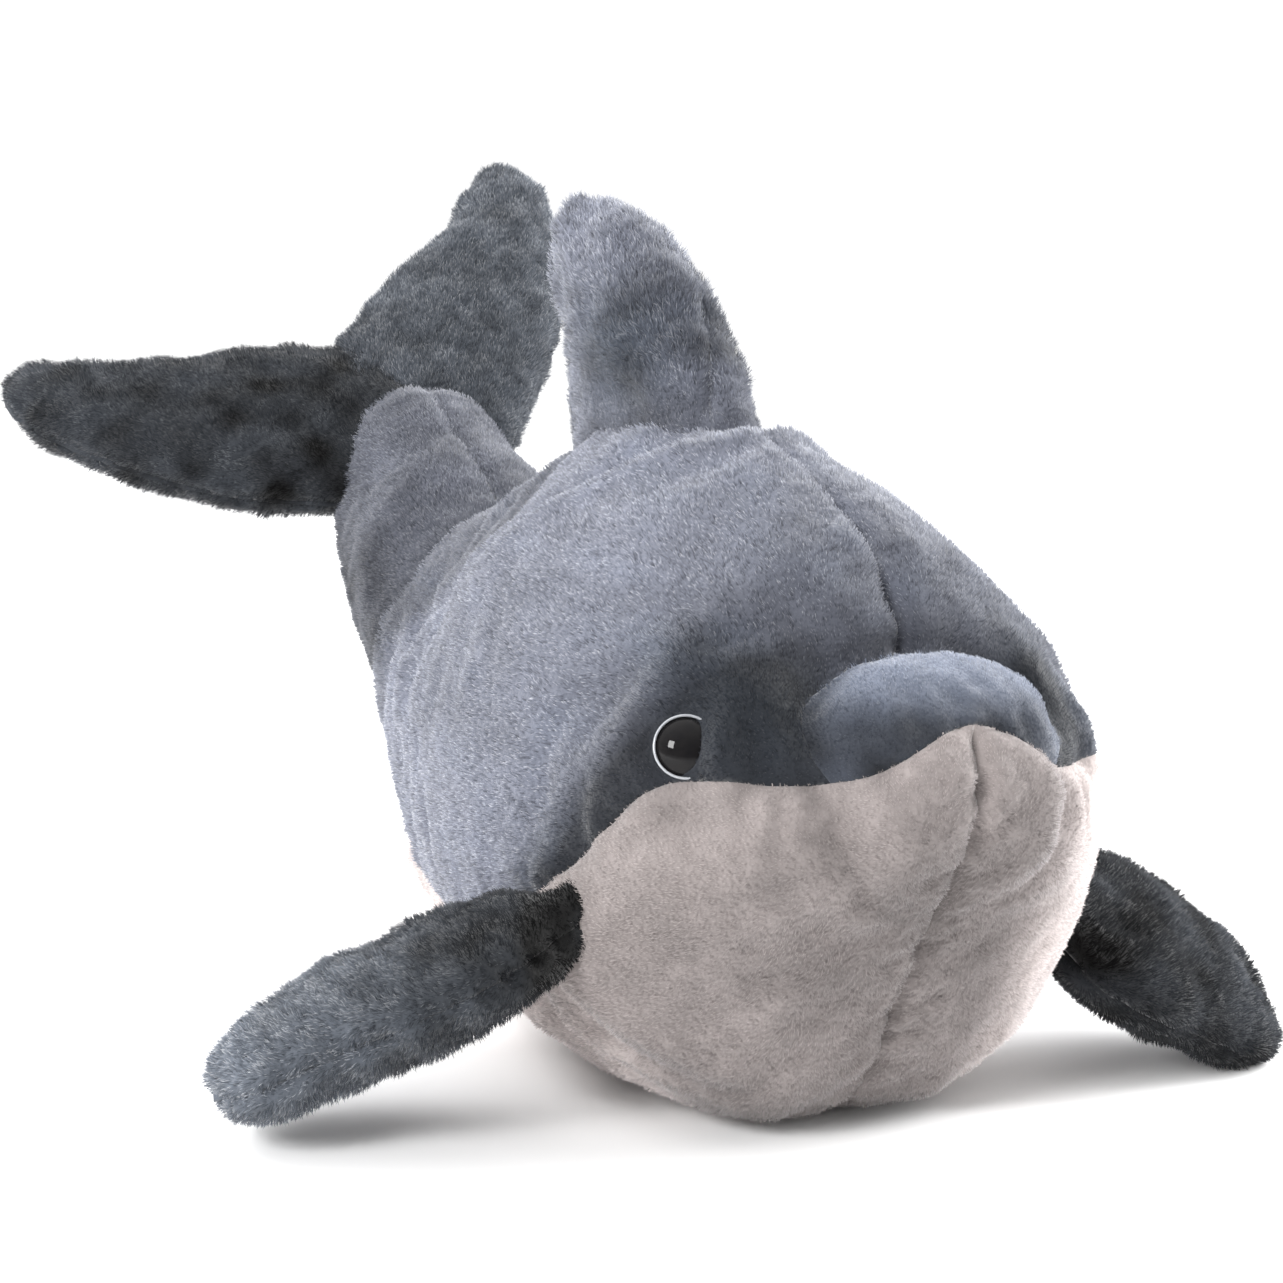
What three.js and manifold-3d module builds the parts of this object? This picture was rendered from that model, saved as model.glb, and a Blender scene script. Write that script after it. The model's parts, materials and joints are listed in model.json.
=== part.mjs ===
import * as THREE from "three";
import { mergeVertices } from "three/addons/utils/BufferGeometryUtils.js";
import Module from "manifold-3d";

const wasm = await Module();
wasm.setup();

// Lengths are in millimetres and angles in degrees. The beak points to -Y and the back to +Z.

// Body and head, from the chest front to the crease of the tail.
const bodyLength = 275;
const bodyWidth = 160;
const bodyHeight = 196;
const bodyFront = -225;
const creaseLean = 24;
const backPower = 1.62;
const bellyPower = 2.8;

// Beak, which stands out of the head between the eyes.
const beakLength = 56;
const beakEyeInset = 13;
const beakHeight = 62;
const beakFront = -227;

// Side seam between the grey back and the pale belly, with its arch over the mouth.
const mouthArchRise = 16;
const mouthArchHalfWidth = 22;
const mouthArchDepth = 30;

// Tail stock, which turns on its ball in the open end of the body.
const stockLength = 108;
const stockSkinTuck = 12;
const ballClearance = 1;
const fillingRetreat = 2;
const stockEndLean = 54;
const tailBend = 10;

// Fins, each from its root to its tip.
const dorsalHeight = 57;
const dorsalWidth = 90;
const dorsalThickness = 30;
const dorsalLean = 10;
const flipperLength = 97;
const flipperWidth = 58;
const flipperThickness = 27;
const flipperSwing = 12;
const flipperDroops = { right: 28, left: 27 };
const flipperDrop = 15;
const flipperSweeps = { right: 21, left: -3 };
const flipperPitches = { right: 4, left: -30 };
const flukeLength = 151;
const flukeWidth = 61;
const flukeThickness = 32;
const flukeSwing = 12;
const flukeSplay = 48;
const flukeRise = 30;
const flukeTurn = 15;
const flukeTwist = 28;
const flukeNotch = 8;
const finPower = 2.1;

// Fur fabric, the clearance between pieces, and how deep the belly is pressed flat.
const fabric = 3;
const gap = 0.3;
const flatDepth = 0.5;
const finish = 0.2;
const mergeDistance = 1e-4;

// Safety eye, its shank and the washer that locks it behind the fabric.
const eyeRadius = 8;
const eyeDome = 6;
const eyeSink = 1;
const shankRadius = 2;
const shankEnd = 4;
const washerRadius = 7;
const washerThickness = 1.6;

// Faces of each kind of form.
const bodyFaces = { sides: 24, steps: 15, start: 0.5 };
const bodyInnerFaces = { sides: 12, steps: 8 };
const stockFaces = { sides: 16, steps: 6 };
const stockInnerFaces = { sides: 10, steps: 4 };
const finFaces = { sides: 12, steps: 7 };
const finInnerFaces = { sides: 8, steps: 4 };
const holeFaces = { sides: 24 };
const roundFaces = 12;
const eyeDomeSteps = 4;
const swingSteps = 3;
const seamSteps = 30;
const seamColumns = 10;
const seamRows = 16;
const seamColumnPower = 1.8;
const fullTurn = 360;
const unitSpan = 2;
const positionSize = 3;

// Shares of a form's sizes at its rows.
const mouthShare = 0.515;
const reachShare = 3;
// Body: length, middle, half width, rise and drop from the middle, lean.
const bodyRowShares = [
  [0, 0.495, 0.079, 0.041, 0.041, 0],
  [0.015, 0.495, 0.164, 0.077, 0.092, 0],
  [0.036, 0.495, 0.23, 0.097, 0.153, 0],
  [0.062, 0.5, 0.297, 0.112, 0.214, 0],
  [0.087, 0.505, 0.343, 0.133, 0.306, 0],
  [0.113, 0.505, 0.388, 0.163, 0.398, 0],
  [0.145, 0.5, 0.432, 0.235, 0.454, 0],
  [0.193, 0.49, 0.464, 0.318, 0.482, 0],
  [0.255, 0.474, 0.476, 0.38, 0.474, 0],
  [0.345, 0.459, 0.489, 0.434, 0.462, 0],
  [0.455, 0.444, 0.486, 0.474, 0.446, 0],
  [0.6, 0.434, 0.446, 0.49, 0.436, 0.042],
  [0.727, 0.439, 0.386, 0.415, 0.441, 0.167],
  [0.836, 0.454, 0.334, 0.328, 0.405, 0.417],
  [0.927, 0.474, 0.297, 0.265, 0.296, 0.708],
  [1, 0.5, 0.273, 0.235, 0.24, 1],
  [1.051, 0.531, 0.248, 0.209, 0.214, 1.167],
];
// Beak: length, half width, rise, drop.
const beakRowShares = [
  [0, 0.1, 0.1, 0.1],
  [0.05, 0.26, 0.25, 0.25],
  [0.16, 0.355, 0.38, 0.38],
  [0.32, 0.425, 0.475, 0.45],
  [0.52, 0.47, 0.5, 0.49],
  [0.75, 0.5, 0.485, 0.52],
  [1, 0.5, 0.47, 0.5],
];
// Tail stock: length, radius, lean between the crease and its end.
const stockRowShares = [
  [0, 0.985, 0],
  [0.08, 0.995, 0.12],
  [0.2, 1, 0.3],
  [0.4, 0.95, 0.6],
  [0.58, 0.88, 0.82],
  [0.78, 0.79, 1],
  [0.89, 0.64, 1],
  [0.965, 0.39, 1],
  [1, 0.13, 1],
];
// Fins: length from the root, middle of the chord, half chord, half thickness.
const dorsalRowShares = [
  [-0.4, -0.1, 0.54, 0.5],
  [0, 0, 0.49, 0.5],
  [0.37, 0.14, 0.4, 0.46],
  [0.68, 0.33, 0.32, 0.41],
  [0.87, 0.45, 0.25, 0.34],
  [1, 0.5, 0.1, 0.15],
];
const flipperRowShares = [
  [-0.2, 0, 0.34, 0.32],
  [0.02, 0, 0.38, 0.38],
  [0.3, 0.02, 0.47, 0.5],
  [0.6, 0.06, 0.5, 0.5],
  [0.84, 0.12, 0.42, 0.42],
  [0.95, 0.16, 0.29, 0.3],
  [1, 0.18, 0.1, 0.12],
];
const flukeRowShares = [
  [-0.04, 0.01, 0.51, 0.42],
  [0.12, 0.055, 0.585, 0.46],
  [0.3, 0.03, 0.58, 0.5],
  [0.5, -0.015, 0.505, 0.5],
  [0.7, -0.03, 0.38, 0.47],
  [0.87, 0.03, 0.28, 0.4],
  [0.96, 0.085, 0.195, 0.26],
  [1, 0.11, 0.07, 0.08],
];
// Side seam: length along the body, height.
const seamShares = [
  [-0.06, mouthShare],
  [0.12, mouthShare],
  [0.15, 0.48],
  [0.19, 0.41],
  [0.24, 0.335],
  [0.32, 0.26],
  [0.42, 0.195],
  [0.56, 0.16],
  [0.7, 0.15],
  [0.84, 0.175],
  [0.94, 0.245],
  [1.03, 0.34],
  [1.12, 0.455],
  [1.2, 0.57],
  [1.28, 0.71],
  [1.4, 0.92],
];
const eyeShare = 0.35;
const eyeAngle = 19.8;
const flipperShare = 0.505;
const dorsalShare = 0.695;
const flukeShare = 0.6;
const flukeRootShare = 0.8;
const surfaceStepShare = 0.01;

// What the sizes above give for the pieces that fit each other.
const creaseRow = bodyRowShares[bodyRowShares.length - 2];
const stockRadius = creaseRow[2] * bodyWidth - fabric - gap;
const shankLength = fabric + gap + washerThickness + shankEnd;
const reach = reachShare * bodyLength;

const toRadians = THREE.MathUtils.degToRad;
const xAxis = new THREE.Vector3(1, 0, 0);
const yAxis = new THREE.Vector3(0, 1, 0);
const zAxis = new THREE.Vector3(0, 0, 1);

// A closed geometry as a solid that can be joined and cut.
function solid(geometry) {
  const bare = geometry.clone();
  bare.deleteAttribute("normal");
  bare.deleteAttribute("uv");
  const merged = mergeVertices(bare, mergeDistance);
  return new wasm.Manifold(
    new wasm.Mesh({
      numProp: positionSize,
      vertProperties: new Float32Array(merged.attributes.position.array),
      triVerts: new Uint32Array(merged.index.array),
    }),
  );
}

function moved(shape, matrix) {
  return shape.transform(matrix.elements);
}

function turned(axis, degrees) {
  return new THREE.Matrix4().makeRotationAxis(axis, toRadians(degrees));
}

// A turn about a hinge that stands at a point.
function turnedAbout(hinge, degrees) {
  const back = new THREE.Matrix4().makeTranslation(hinge.point.clone().negate());
  return new THREE.Matrix4().makeTranslation(hinge.point).multiply(turned(hinge.axis, degrees)).multiply(back);
}

function box(low, high) {
  const size = new THREE.Vector3().subVectors(high, low);
  const centre = low.clone().lerp(high, 0.5);
  return solid(new THREE.BoxGeometry(...size.toArray()).translate(...centre.toArray()));
}

// The half of all space that lies on the positive side of an axis, past a start.
function halfSpace(axis, start, side = 1) {
  const low = new THREE.Vector3(-reach, -reach, -reach);
  const high = new THREE.Vector3(reach, reach, reach);
  if (side > 0) low.setComponent(axis, start);
  else high.setComponent(axis, -start);
  return box(low, high);
}

// The one body that counts where a cut leaves crumbs beside it.
function largest(shape) {
  return shape.decompose().reduce((a, b) => (b.volume() > a.volume() ? b : a));
}

// The surface through rows that each have a place, half sizes (side, up, down) and a lean.
class Form {
  constructor(rows, power = 2, underPower = power) {
    this.places = new THREE.CatmullRomCurve3(rows.map((row) => row.place));
    this.sizes = new THREE.CatmullRomCurve3(rows.map((row) => row.size));
    this.leans = new THREE.CatmullRomCurve3(rows.map((row) => new THREE.Vector3(row.lean ?? 0, 0, 0)));
    const first = rows[0].place;
    const last = rows[rows.length - 1].place;
    this.middle = first.clone().lerp(last, 0.5);
    this.length = first.distanceTo(last);
    this.power = power;
    this.underPower = underPower;
  }

  // The middle of a ring, drawn in at both ends of the form by the inset.
  place(share, inset = 0) {
    const shrink = 1 - (2 * inset) / this.length;
    return this.places.getPoint(share).sub(this.middle).multiplyScalar(shrink).add(this.middle);
  }

  point(share, degrees, inset = 0) {
    const angle = toRadians(degrees);
    const size = this.sizes.getPoint(share);
    const lean = toRadians(this.leans.getPoint(share).x);
    const upper = Math.sin(angle) > 0;
    const power = upper ? this.power : this.underPower;
    const bend = (value) => Math.sign(value) * Math.abs(value) ** (2 / power);
    const side = bend(Math.cos(angle)) * Math.max(size.x - inset, gap);
    const rise = bend(Math.sin(angle)) * Math.max((upper ? size.y : size.z) - inset, gap);
    const across = new THREE.Vector3(side, -Math.sin(lean) * rise, Math.cos(lean) * rise);
    return this.place(share, inset).add(across);
  }

  along(share, degrees) {
    const before = this.point(share - surfaceStepShare, degrees);
    return this.point(share + surfaceStepShare, degrees).sub(before).normalize();
  }

  normal(share, degrees) {
    const turn = fullTurn * surfaceStepShare;
    const around = this.point(share, degrees + turn).sub(this.point(share, degrees - turn));
    return around.cross(this.along(share, degrees)).normalize();
  }

  // A closed solid of the form, one inset smaller all over.
  solid({ sides, steps, start = 0 }, inset = 0) {
    const points = [];
    for (let step = 0; step <= steps; step++)
      for (let side = 0; side < sides; side++)
        points.push(this.point(step / steps, ((side + start) / sides) * fullTurn, inset));
    const ends = points.length;
    points.push(this.place(0, inset), this.place(1, inset));
    const index = [];
    for (let side = 0; side < sides; side++) {
      const next = (side + 1) % sides;
      for (let ring = 0; ring < steps * sides; ring += sides) {
        const corners = [ring + side, ring + next, ring + sides + next, ring + sides + side];
        index.push(corners[0], corners[1], corners[2], corners[0], corners[2], corners[3]);
      }
      index.push(ends, next, side, ends + 1, steps * sides + side, steps * sides + next);
    }
    const geometry = new THREE.BufferGeometry().setFromPoints(points);
    const made = solid(geometry.setIndex(index));
    return made.volume() > 0 ? made : solid(geometry.setIndex(index.reverse()));
  }
}

const group = new THREE.Group();
const joints = [];

const colours = {
  back: [0x8a93a5, 0.95],
  beak: [0x5f6b7e, 0.9],
  belly: [0xb9adab, 0.95],
  fin: [0x4f5765, 0.95],
  filling: [0xf2f1ec, 0.98],
  eye: [0x0b0b0d, 0.08],
  washer: [0xe8e8e6, 0.5],
};

function add(name, colour, shape) {
  const mesh = largest(shape.simplify(finish)).getMesh();
  const geometry = new THREE.BufferGeometry();
  const positions = Float32Array.from(mesh.vertProperties);
  geometry.setAttribute("position", new THREE.BufferAttribute(positions, positionSize));
  geometry.setIndex(new THREE.BufferAttribute(Uint32Array.from(mesh.triVerts), 1));
  geometry.computeVertexNormals();
  const [color, roughness] = colours[colour];
  const material = new THREE.MeshStandardMaterial({ color, roughness, metalness: 0 });
  const piece = new THREE.Mesh(geometry, material);
  piece.name = name;
  group.add(piece);
}

// Body, beak and tail stock as whole forms.
const bodyForm = new Form(
  bodyRowShares.map(([along, middle, half, rise, drop, lean]) => ({
    place: new THREE.Vector3(0, bodyFront + along * bodyLength, middle * bodyHeight),
    size: new THREE.Vector3(half * bodyWidth, rise * bodyHeight, drop * bodyHeight),
    lean: lean * creaseLean,
  })),
  backPower,
  bellyPower,
);
const eyeSide = bodyForm.point(eyeShare, eyeAngle).x;
const beakWidth = 2 * (eyeSide - beakEyeInset);
const beakForm = new Form(
  beakRowShares.map(([along, half, rise, drop]) => ({
    place: new THREE.Vector3(0, beakFront + along * beakLength, mouthShare * bodyHeight),
    size: new THREE.Vector3(half * beakWidth, rise * beakHeight, drop * beakHeight),
  })),
);
const tailHinge = {
  point: new THREE.Vector3(0, bodyFront + creaseRow[0] * bodyLength, creaseRow[1] * bodyHeight),
  axis: xAxis,
};
joints.push({ name: "tail_bend", hinge: tailHinge, swing: tailBend });

function stockRows() {
  const rows = [];
  const place = tailHinge.point.clone();
  let before = 0;
  let lean = creaseLean;
  for (const [along, radius, turn] of stockRowShares) {
    const next = creaseLean + turn * (stockEndLean - creaseLean);
    const heading = toRadians((lean + next) / 2);
    const run = (along - before) * stockLength;
    place.add(new THREE.Vector3(0, Math.cos(heading) * run, Math.sin(heading) * run));
    const size = radius * stockRadius;
    rows.push({ place: place.clone(), size: new THREE.Vector3(size, size, size), lean: next });
    before = along;
    lean = next;
  }
  return rows;
}
const stockForm = new Form(stockRows());

function tailBall(radius, { sides } = stockFaces) {
  const ball = new THREE.SphereGeometry(radius, sides, sides / 2);
  return solid(ball.translate(...tailHinge.point.toArray()));
}
const tailHole = tailBall(stockRadius + ballClearance, holeFaces);

// Everything that lies below the side seam, whose line arches over the middle of the mouth.
const seamCurve = new THREE.CatmullRomCurve3(
  seamShares.map(([along, height]) => new THREE.Vector3(0, bodyFront + along * bodyLength, height * bodyHeight)),
);
const seamLine = seamCurve.getPoints(seamSteps);

function seamHeight(x, y) {
  const after = Math.max(1, seamLine.findIndex((point) => point.y > y));
  const [a, b] = [seamLine[after - 1], seamLine[after]];
  const height = THREE.MathUtils.mapLinear(y, a.y, b.y, a.z, b.z);
  const arch = Math.exp(-((x / mouthArchHalfWidth) ** 2));
  const front = THREE.MathUtils.smoothstep(bodyFront + mouthArchDepth - y, 0, mouthArchDepth);
  return height + mouthArchRise * arch * front;
}

function underSeam(shift) {
  const start = seamLine[0].y;
  const end = seamLine[seamLine.length - 1].y;
  const geometry = new THREE.BoxGeometry(unitSpan, end - start, unitSpan, seamColumns, seamRows, 1);
  const position = geometry.attributes.position;
  for (let i = 0; i < position.count; i++) {
    const across = position.getX(i);
    const x = Math.sign(across) * Math.abs(across) ** seamColumnPower * bodyWidth;
    const y = position.getY(i) + (start + end) / 2;
    position.setXYZ(i, x, y, position.getZ(i) > 0 ? seamHeight(x, y) + shift : -reach);
  }
  return solid(geometry);
}
const belowSeam = underSeam(-gap / 2);
const belowSeamWide = underSeam(gap / 2);

// Body skins: the pale belly, the grey back on each side, and the top of the beak.
const creaseTurn = turned(xAxis, creaseLean).setPosition(tailHinge.point);
const bodyOuter = bodyForm.solid(bodyFaces);
const floorHeight = bodyOuter.boundingBox().min[2] + flatDepth;
const beforeCrease = moved(halfSpace(1, 0, -1), creaseTurn).intersect(halfSpace(2, floorHeight));
const beakOuter = beakForm.solid(finFaces);

function bodyInside(inset) {
  return bodyForm.solid(bodyInnerFaces, inset).add(beakForm.solid(finInnerFaces, inset));
}
const bodySkin = bodyOuter
  .add(beakOuter)
  .subtract(bodyInside(fabric))
  .intersect(beforeCrease)
  .subtract(tailHole);
const bodyClear = bodyForm.solid(bodyFaces, -gap);
const beakClear = beakForm.solid(finFaces, -gap);

// Eyes, each on its place on the side of the head.
function eyeTurn(sign) {
  const angle = sign > 0 ? eyeAngle : fullTurn / 2 - eyeAngle;
  const normal = bodyForm.normal(eyeShare, angle);
  if (normal.x * sign < 0) normal.negate();
  const turn = new THREE.Quaternion().setFromUnitVectors(yAxis, normal);
  return new THREE.Matrix4().makeRotationFromQuaternion(turn).setPosition(bodyForm.point(eyeShare, angle));
}

function turnedProfile(points) {
  const profile = points.map(([radius, height]) => new THREE.Vector2(radius, height));
  return solid(new THREE.LatheGeometry(profile, roundFaces));
}

function eye(grow) {
  const points = [
    [0, -shankLength - grow],
    [shankRadius + grow, -shankLength - grow],
    [shankRadius + grow, -eyeSink - grow],
    [eyeRadius + grow, -eyeSink - grow],
  ];
  for (let step = 1; step < eyeDomeSteps; step++) {
    const angle = ((step / eyeDomeSteps) * Math.PI) / 2;
    points.push([Math.cos(angle) * (eyeRadius + grow), Math.sin(angle) * (eyeDome + grow) - eyeSink]);
  }
  points.push([0, eyeDome + grow - eyeSink]);
  return turnedProfile(points);
}

function washer(grow) {
  const front = -fabric - gap + grow;
  const back = -fabric - gap - washerThickness - grow;
  const disc = turnedProfile([[0, back], [washerRadius + grow, back], [washerRadius + grow, front], [0, front]]);
  const bore = shankRadius + gap;
  const drill = turnedProfile([[0, back - fabric], [bore, back - fabric], [bore, front + fabric], [0, front + fabric]]);
  return grow > 0 ? disc : disc.subtract(drill);
}

const beforeRim = moved(halfSpace(1, fillingRetreat, -1), creaseTurn);
let filling = bodyInside(fabric + gap).intersect(beforeCrease).intersect(beforeRim).subtract(tailHole);
let beakTop = bodySkin.subtract(belowSeamWide).subtract(bodyClear);
for (const [side, sign] of [["left", 1], ["right", -1]]) {
  const place = eyeTurn(sign);
  const seat = moved(eye(gap).add(washer(gap)), place);
  const half = halfSpace(0, gap / 2, sign);
  add("belly_" + side, "belly", bodySkin.intersect(belowSeam).intersect(half).subtract(seat));
  const back = bodySkin.subtract(belowSeamWide).intersect(half);
  add("back_" + side, "back", back.subtract(beakClear).subtract(seat));
  add("eye_" + side, "eye", moved(eye(0), place));
  add("eye_washer_" + side, "washer", moved(washer(0), place));
  filling = filling.subtract(seat);
  beakTop = beakTop.subtract(seat);
}
add("beak_top", "beak", beakTop);
add("torso_stuffing", "filling", filling);

// Tail stock: two upper skins and one under skin round their filling.
function stockInside(inset, faces) {
  return stockForm.solid(faces, inset).add(tailBall(stockRadius - inset));
}
const stockOuter = stockInside(0, stockFaces);
const pastSkinEdge = moved(halfSpace(1, -stockSkinTuck), creaseTurn);
const stockSkin = stockOuter.subtract(stockInside(fabric, stockInnerFaces)).intersect(pastSkinEdge);
const stockUpper = stockSkin.subtract(belowSeamWide);
add("tail_left", "back", stockUpper.intersect(halfSpace(0, gap / 2)));
add("tail_right", "back", stockUpper.intersect(halfSpace(0, gap / 2, -1)));
add("tail_under", "belly", stockSkin.intersect(belowSeam));
add("tail_stuffing", "filling", stockInside(fabric + gap, stockInnerFaces));

// A fin's form in its own frame: root to tip along Y, chord along X, thickness along Z.
function finForm(shares, length, chord, thickness) {
  const rows = shares.map(([along, middle, halfChord, halfThickness]) => ({
    place: new THREE.Vector3(middle * chord, along * length, 0),
    size: new THREE.Vector3(halfChord * chord, halfThickness * thickness, halfThickness * thickness),
  }));
  return new Form(rows, finPower);
}

// A fin of two skins and its filling, cut clear of what it swings against.
function addFin(names, colour, form, place, hinge, swing, carrier, keep) {
  let blocked = carrier;
  for (let step = 0; step <= swingSteps; step++)
    blocked = blocked.add(moved(carrier, turnedAbout(hinge, swing * ((2 * step) / swingSteps - 1))));
  const outer = form.solid(finFaces);
  const skin = outer.subtract(form.solid(finInnerFaces, fabric));
  const pieces = [
    [names[0], colour, skin.intersect(halfSpace(2, gap / 2))],
    [names[1], colour, skin.intersect(halfSpace(2, gap / 2, -1))],
    [names[2], "filling", form.solid(finInnerFaces, fabric + gap)],
  ];
  for (const [name, tint, shape] of pieces) {
    const whole = moved(keep ? shape.intersect(keep) : shape, place);
    add(name, tint, whole.subtract(blocked));
  }
}

// Dorsal fin, which leans about its seam along the ridge of the back.
const dorsalForm = finForm(dorsalRowShares, dorsalHeight, dorsalWidth, dorsalThickness);
const dorsalHinge = {
  point: bodyForm.point(dorsalShare, 90),
  axis: bodyForm.along(dorsalShare, 90),
};
joints.push({ name: "dorsal_lean", hinge: dorsalHinge, swing: dorsalLean });
const dorsalPlace = new THREE.Matrix4().makeBasis(yAxis, zAxis, xAxis).setPosition(dorsalHinge.point);
const dorsalNames = ["dorsal_left", "dorsal_right", "dorsal_stuffing"];
addFin(dorsalNames, "back", dorsalForm, dorsalPlace, dorsalHinge, dorsalLean, bodyClear);

// Flippers, which flap about their seams on the flanks.
const flipperForm = finForm(flipperRowShares, flipperLength, flipperWidth, flipperThickness);
for (const [side, sign] of [["left", 1], ["right", -1]]) {
  const angle = sign > 0 ? -flipperDrop : fullTurn / 2 + flipperDrop;
  const hinge = { point: bodyForm.point(flipperShare, angle), axis: bodyForm.along(flipperShare, angle) };
  joints.push({ name: side + "_flipper_flap", hinge, swing: flipperSwing });
  const place = new THREE.Matrix4().makeTranslation(hinge.point);
  place.multiply(turned(zAxis, sign * (flipperSweeps[side] - 90)));
  place.multiply(turned(xAxis, -flipperDroops[side])).multiply(turned(yAxis, -sign * flipperPitches[side]));
  if (sign < 0) place.multiply(new THREE.Matrix4().makeScale(-1, 1, 1));
  const names = ["top", "under", "stuffing"].map((kind) => "flipper_" + side + "_" + kind);
  addFin(names, "fin", flipperForm, place, hinge, flipperSwing, bodyClear);
}

// Flukes, which flap about their seams on the sides of the tail stock.
const flukeForm = finForm(flukeRowShares, flukeLength, flukeWidth, flukeThickness);
const flukeMiddle = new THREE.Matrix4().makeTranslation(stockForm.place(flukeShare));
flukeMiddle.multiply(turned(zAxis, flukeTurn)).multiply(turned(xAxis, flukeRise));
flukeMiddle.multiply(turned(yAxis, -flukeTwist));
const stockClear = stockForm.solid(stockFaces, -gap);
for (const [side, sign] of [["left", 1], ["right", -1]]) {
  const root = new THREE.Vector3(sign * flukeRootShare * stockRadius, 0, 0);
  const hinge = {
    point: root.applyMatrix4(flukeMiddle),
    axis: yAxis.clone().transformDirection(flukeMiddle),
  };
  joints.push({ name: side + "_fluke_flap", hinge, swing: flukeSwing });
  const splay = turned(zAxis, -sign * flukeSplay);
  if (sign > 0) splay.multiply(new THREE.Matrix4().makeScale(-1, 1, 1));
  const keep = moved(halfSpace(0, flukeNotch / 2, sign), splay.clone().invert());
  const names = ["top", "under", "stuffing"].map((kind) => "fluke_" + side + "_" + kind);
  const place = flukeMiddle.clone().multiply(splay);
  addFin(names, "fin", flukeForm, place, hinge, flukeSwing, stockClear, keep);
}

// The origin is under the middle of the whole toy, on the surface that it lies on.
const bounds = new THREE.Box3().setFromObject(group);
const middle = bounds.getCenter(new THREE.Vector3());
group.position.set(-middle.x, -middle.y, -bounds.min.z);

export { joints };
export default group;
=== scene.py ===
import json
import math
from contextlib import contextmanager

import bmesh
import bpy
import numpy as np
from mathutils import Matrix, Vector
from mathutils.bvhtree import BVHTree
from mathutils.kdtree import KDTree


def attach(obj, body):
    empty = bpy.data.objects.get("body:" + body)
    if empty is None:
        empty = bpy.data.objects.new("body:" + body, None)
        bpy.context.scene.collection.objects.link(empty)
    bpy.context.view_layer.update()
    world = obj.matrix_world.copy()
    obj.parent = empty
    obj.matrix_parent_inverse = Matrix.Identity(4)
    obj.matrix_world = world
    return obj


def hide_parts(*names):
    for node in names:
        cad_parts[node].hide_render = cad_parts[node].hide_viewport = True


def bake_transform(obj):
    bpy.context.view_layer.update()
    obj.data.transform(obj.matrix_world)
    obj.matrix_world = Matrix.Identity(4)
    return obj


bl_info = {
    "name": "Plush dolphin",
    "version": (1, 0, 0),
    "blender": (4, 5, 0),
    "location": "3D Viewport > Sidebar > Plush",
    "description": "Sews the fur panels, eyes and fins of a plush dolphin round its packed model",
    "category": "Add Mesh",
}

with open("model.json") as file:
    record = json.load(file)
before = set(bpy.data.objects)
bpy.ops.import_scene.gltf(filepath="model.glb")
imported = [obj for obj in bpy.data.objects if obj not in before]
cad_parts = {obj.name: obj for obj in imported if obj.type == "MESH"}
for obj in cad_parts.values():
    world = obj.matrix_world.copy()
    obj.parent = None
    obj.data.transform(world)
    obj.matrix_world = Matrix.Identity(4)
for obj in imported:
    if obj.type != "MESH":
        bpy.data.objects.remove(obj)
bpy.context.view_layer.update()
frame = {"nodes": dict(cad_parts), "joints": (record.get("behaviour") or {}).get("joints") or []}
joints = {joint["name"]: joint for joint in frame["joints"]}

MOST_TUFTS = 66000
FLOOR_CLEARANCE = 0.0001
# Tufts of one shade run together along the toy, in streaks.
STREAK = np.array([1.0, 0.4, 1.0])
PALE_FLOOR = (0.93, 0.93, 0.93)
# The simulated cloth: frames, rounds of smoothing that find its broad trend, and the farthest it may move.
CLOTH_FRAMES = 20
CLOTH_TREND = 60
CLOTH_MOST = 0.003
# Sizes over which tufts lean together: locks, wider drifts and fine tangles.
LOCKS, DRIFTS, TANGLES = 0.008, 0.035, 0.0022
# A tuft has five corners: two at its root, two at its middle and one at its tip.
TUFT_CORNERS = 5
TUFT_FACES = np.array([[0, 1, 2], [0, 2, 3], [3, 2, 4]])
TUFT_ROOT_DEPTH = 0.0003
# The camera's angles in degrees, its place, and its lens as the photograph's own width and focal length in pixels.
CAMERA_AZIMUTH, CAMERA_ELEVATION, CAMERA_ROLL = -30.0, 10.0, 3.5
CAMERA_TARGET = (0.010, -0.040, 0.105)
CAMERA_DISTANCE = 0.760
PHOTO_WIDTH, PHOTO_FOCAL, SENSOR_WIDTH = 1283, 2450, 36
# Area lights: name, place, size, power, and whether the eyes mirror it.
LIGHTS = [
    ("key", (-0.70, 0.70, 1.00), 0.8, 10.0, False),
    ("rim", (1.10, -0.15, 0.60), 0.7, 25.0, False),
    ("catch", (-0.80, -0.45, 0.48), 0.25, 8.0, True),
    ("low", (-0.90, -0.05, 0.14), 0.40, 2.2, False),
    ("side", (1.20, -0.60, 0.35), 0.60, 5.0, False),
]

# Sizes of the forms in metres and degrees, those of the solids but for the beak's inset and the arch of the mouth.
BODY_LENGTH = 0.275
BODY_WIDTH = 0.160
BODY_HEIGHT = 0.196
BODY_FRONT = -0.225
CREASE_LEAN = 24
BACK_POWER = 1.62
BELLY_POWER = 2.8
BEAK_LENGTH = 0.056
BEAK_EYE_INSET = 0.0165
BEAK_HEIGHT = 0.062
BEAK_FRONT = -0.227
MOUTH_SHARE = 0.515
ARCH_RISE = 0.0175
ARCH_HALF_WIDTH = 0.026
ARCH_DEPTH = 0.030
STOCK_LENGTH = 0.108
STOCK_END_LEAN = 54
FABRIC = 0.003
GAP = 0.0003
DORSAL = {"length": 0.057, "width": 0.090, "thickness": 0.030}
FLIPPER = {"length": 0.097, "width": 0.058, "thickness": 0.027}
FLUKE = {"length": 0.151, "width": 0.061, "thickness": 0.032}
FLIPPER_DROOP = {"right": 28, "left": 27}
FLIPPER_SWEEP = {"right": 21, "left": -3}
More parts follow.
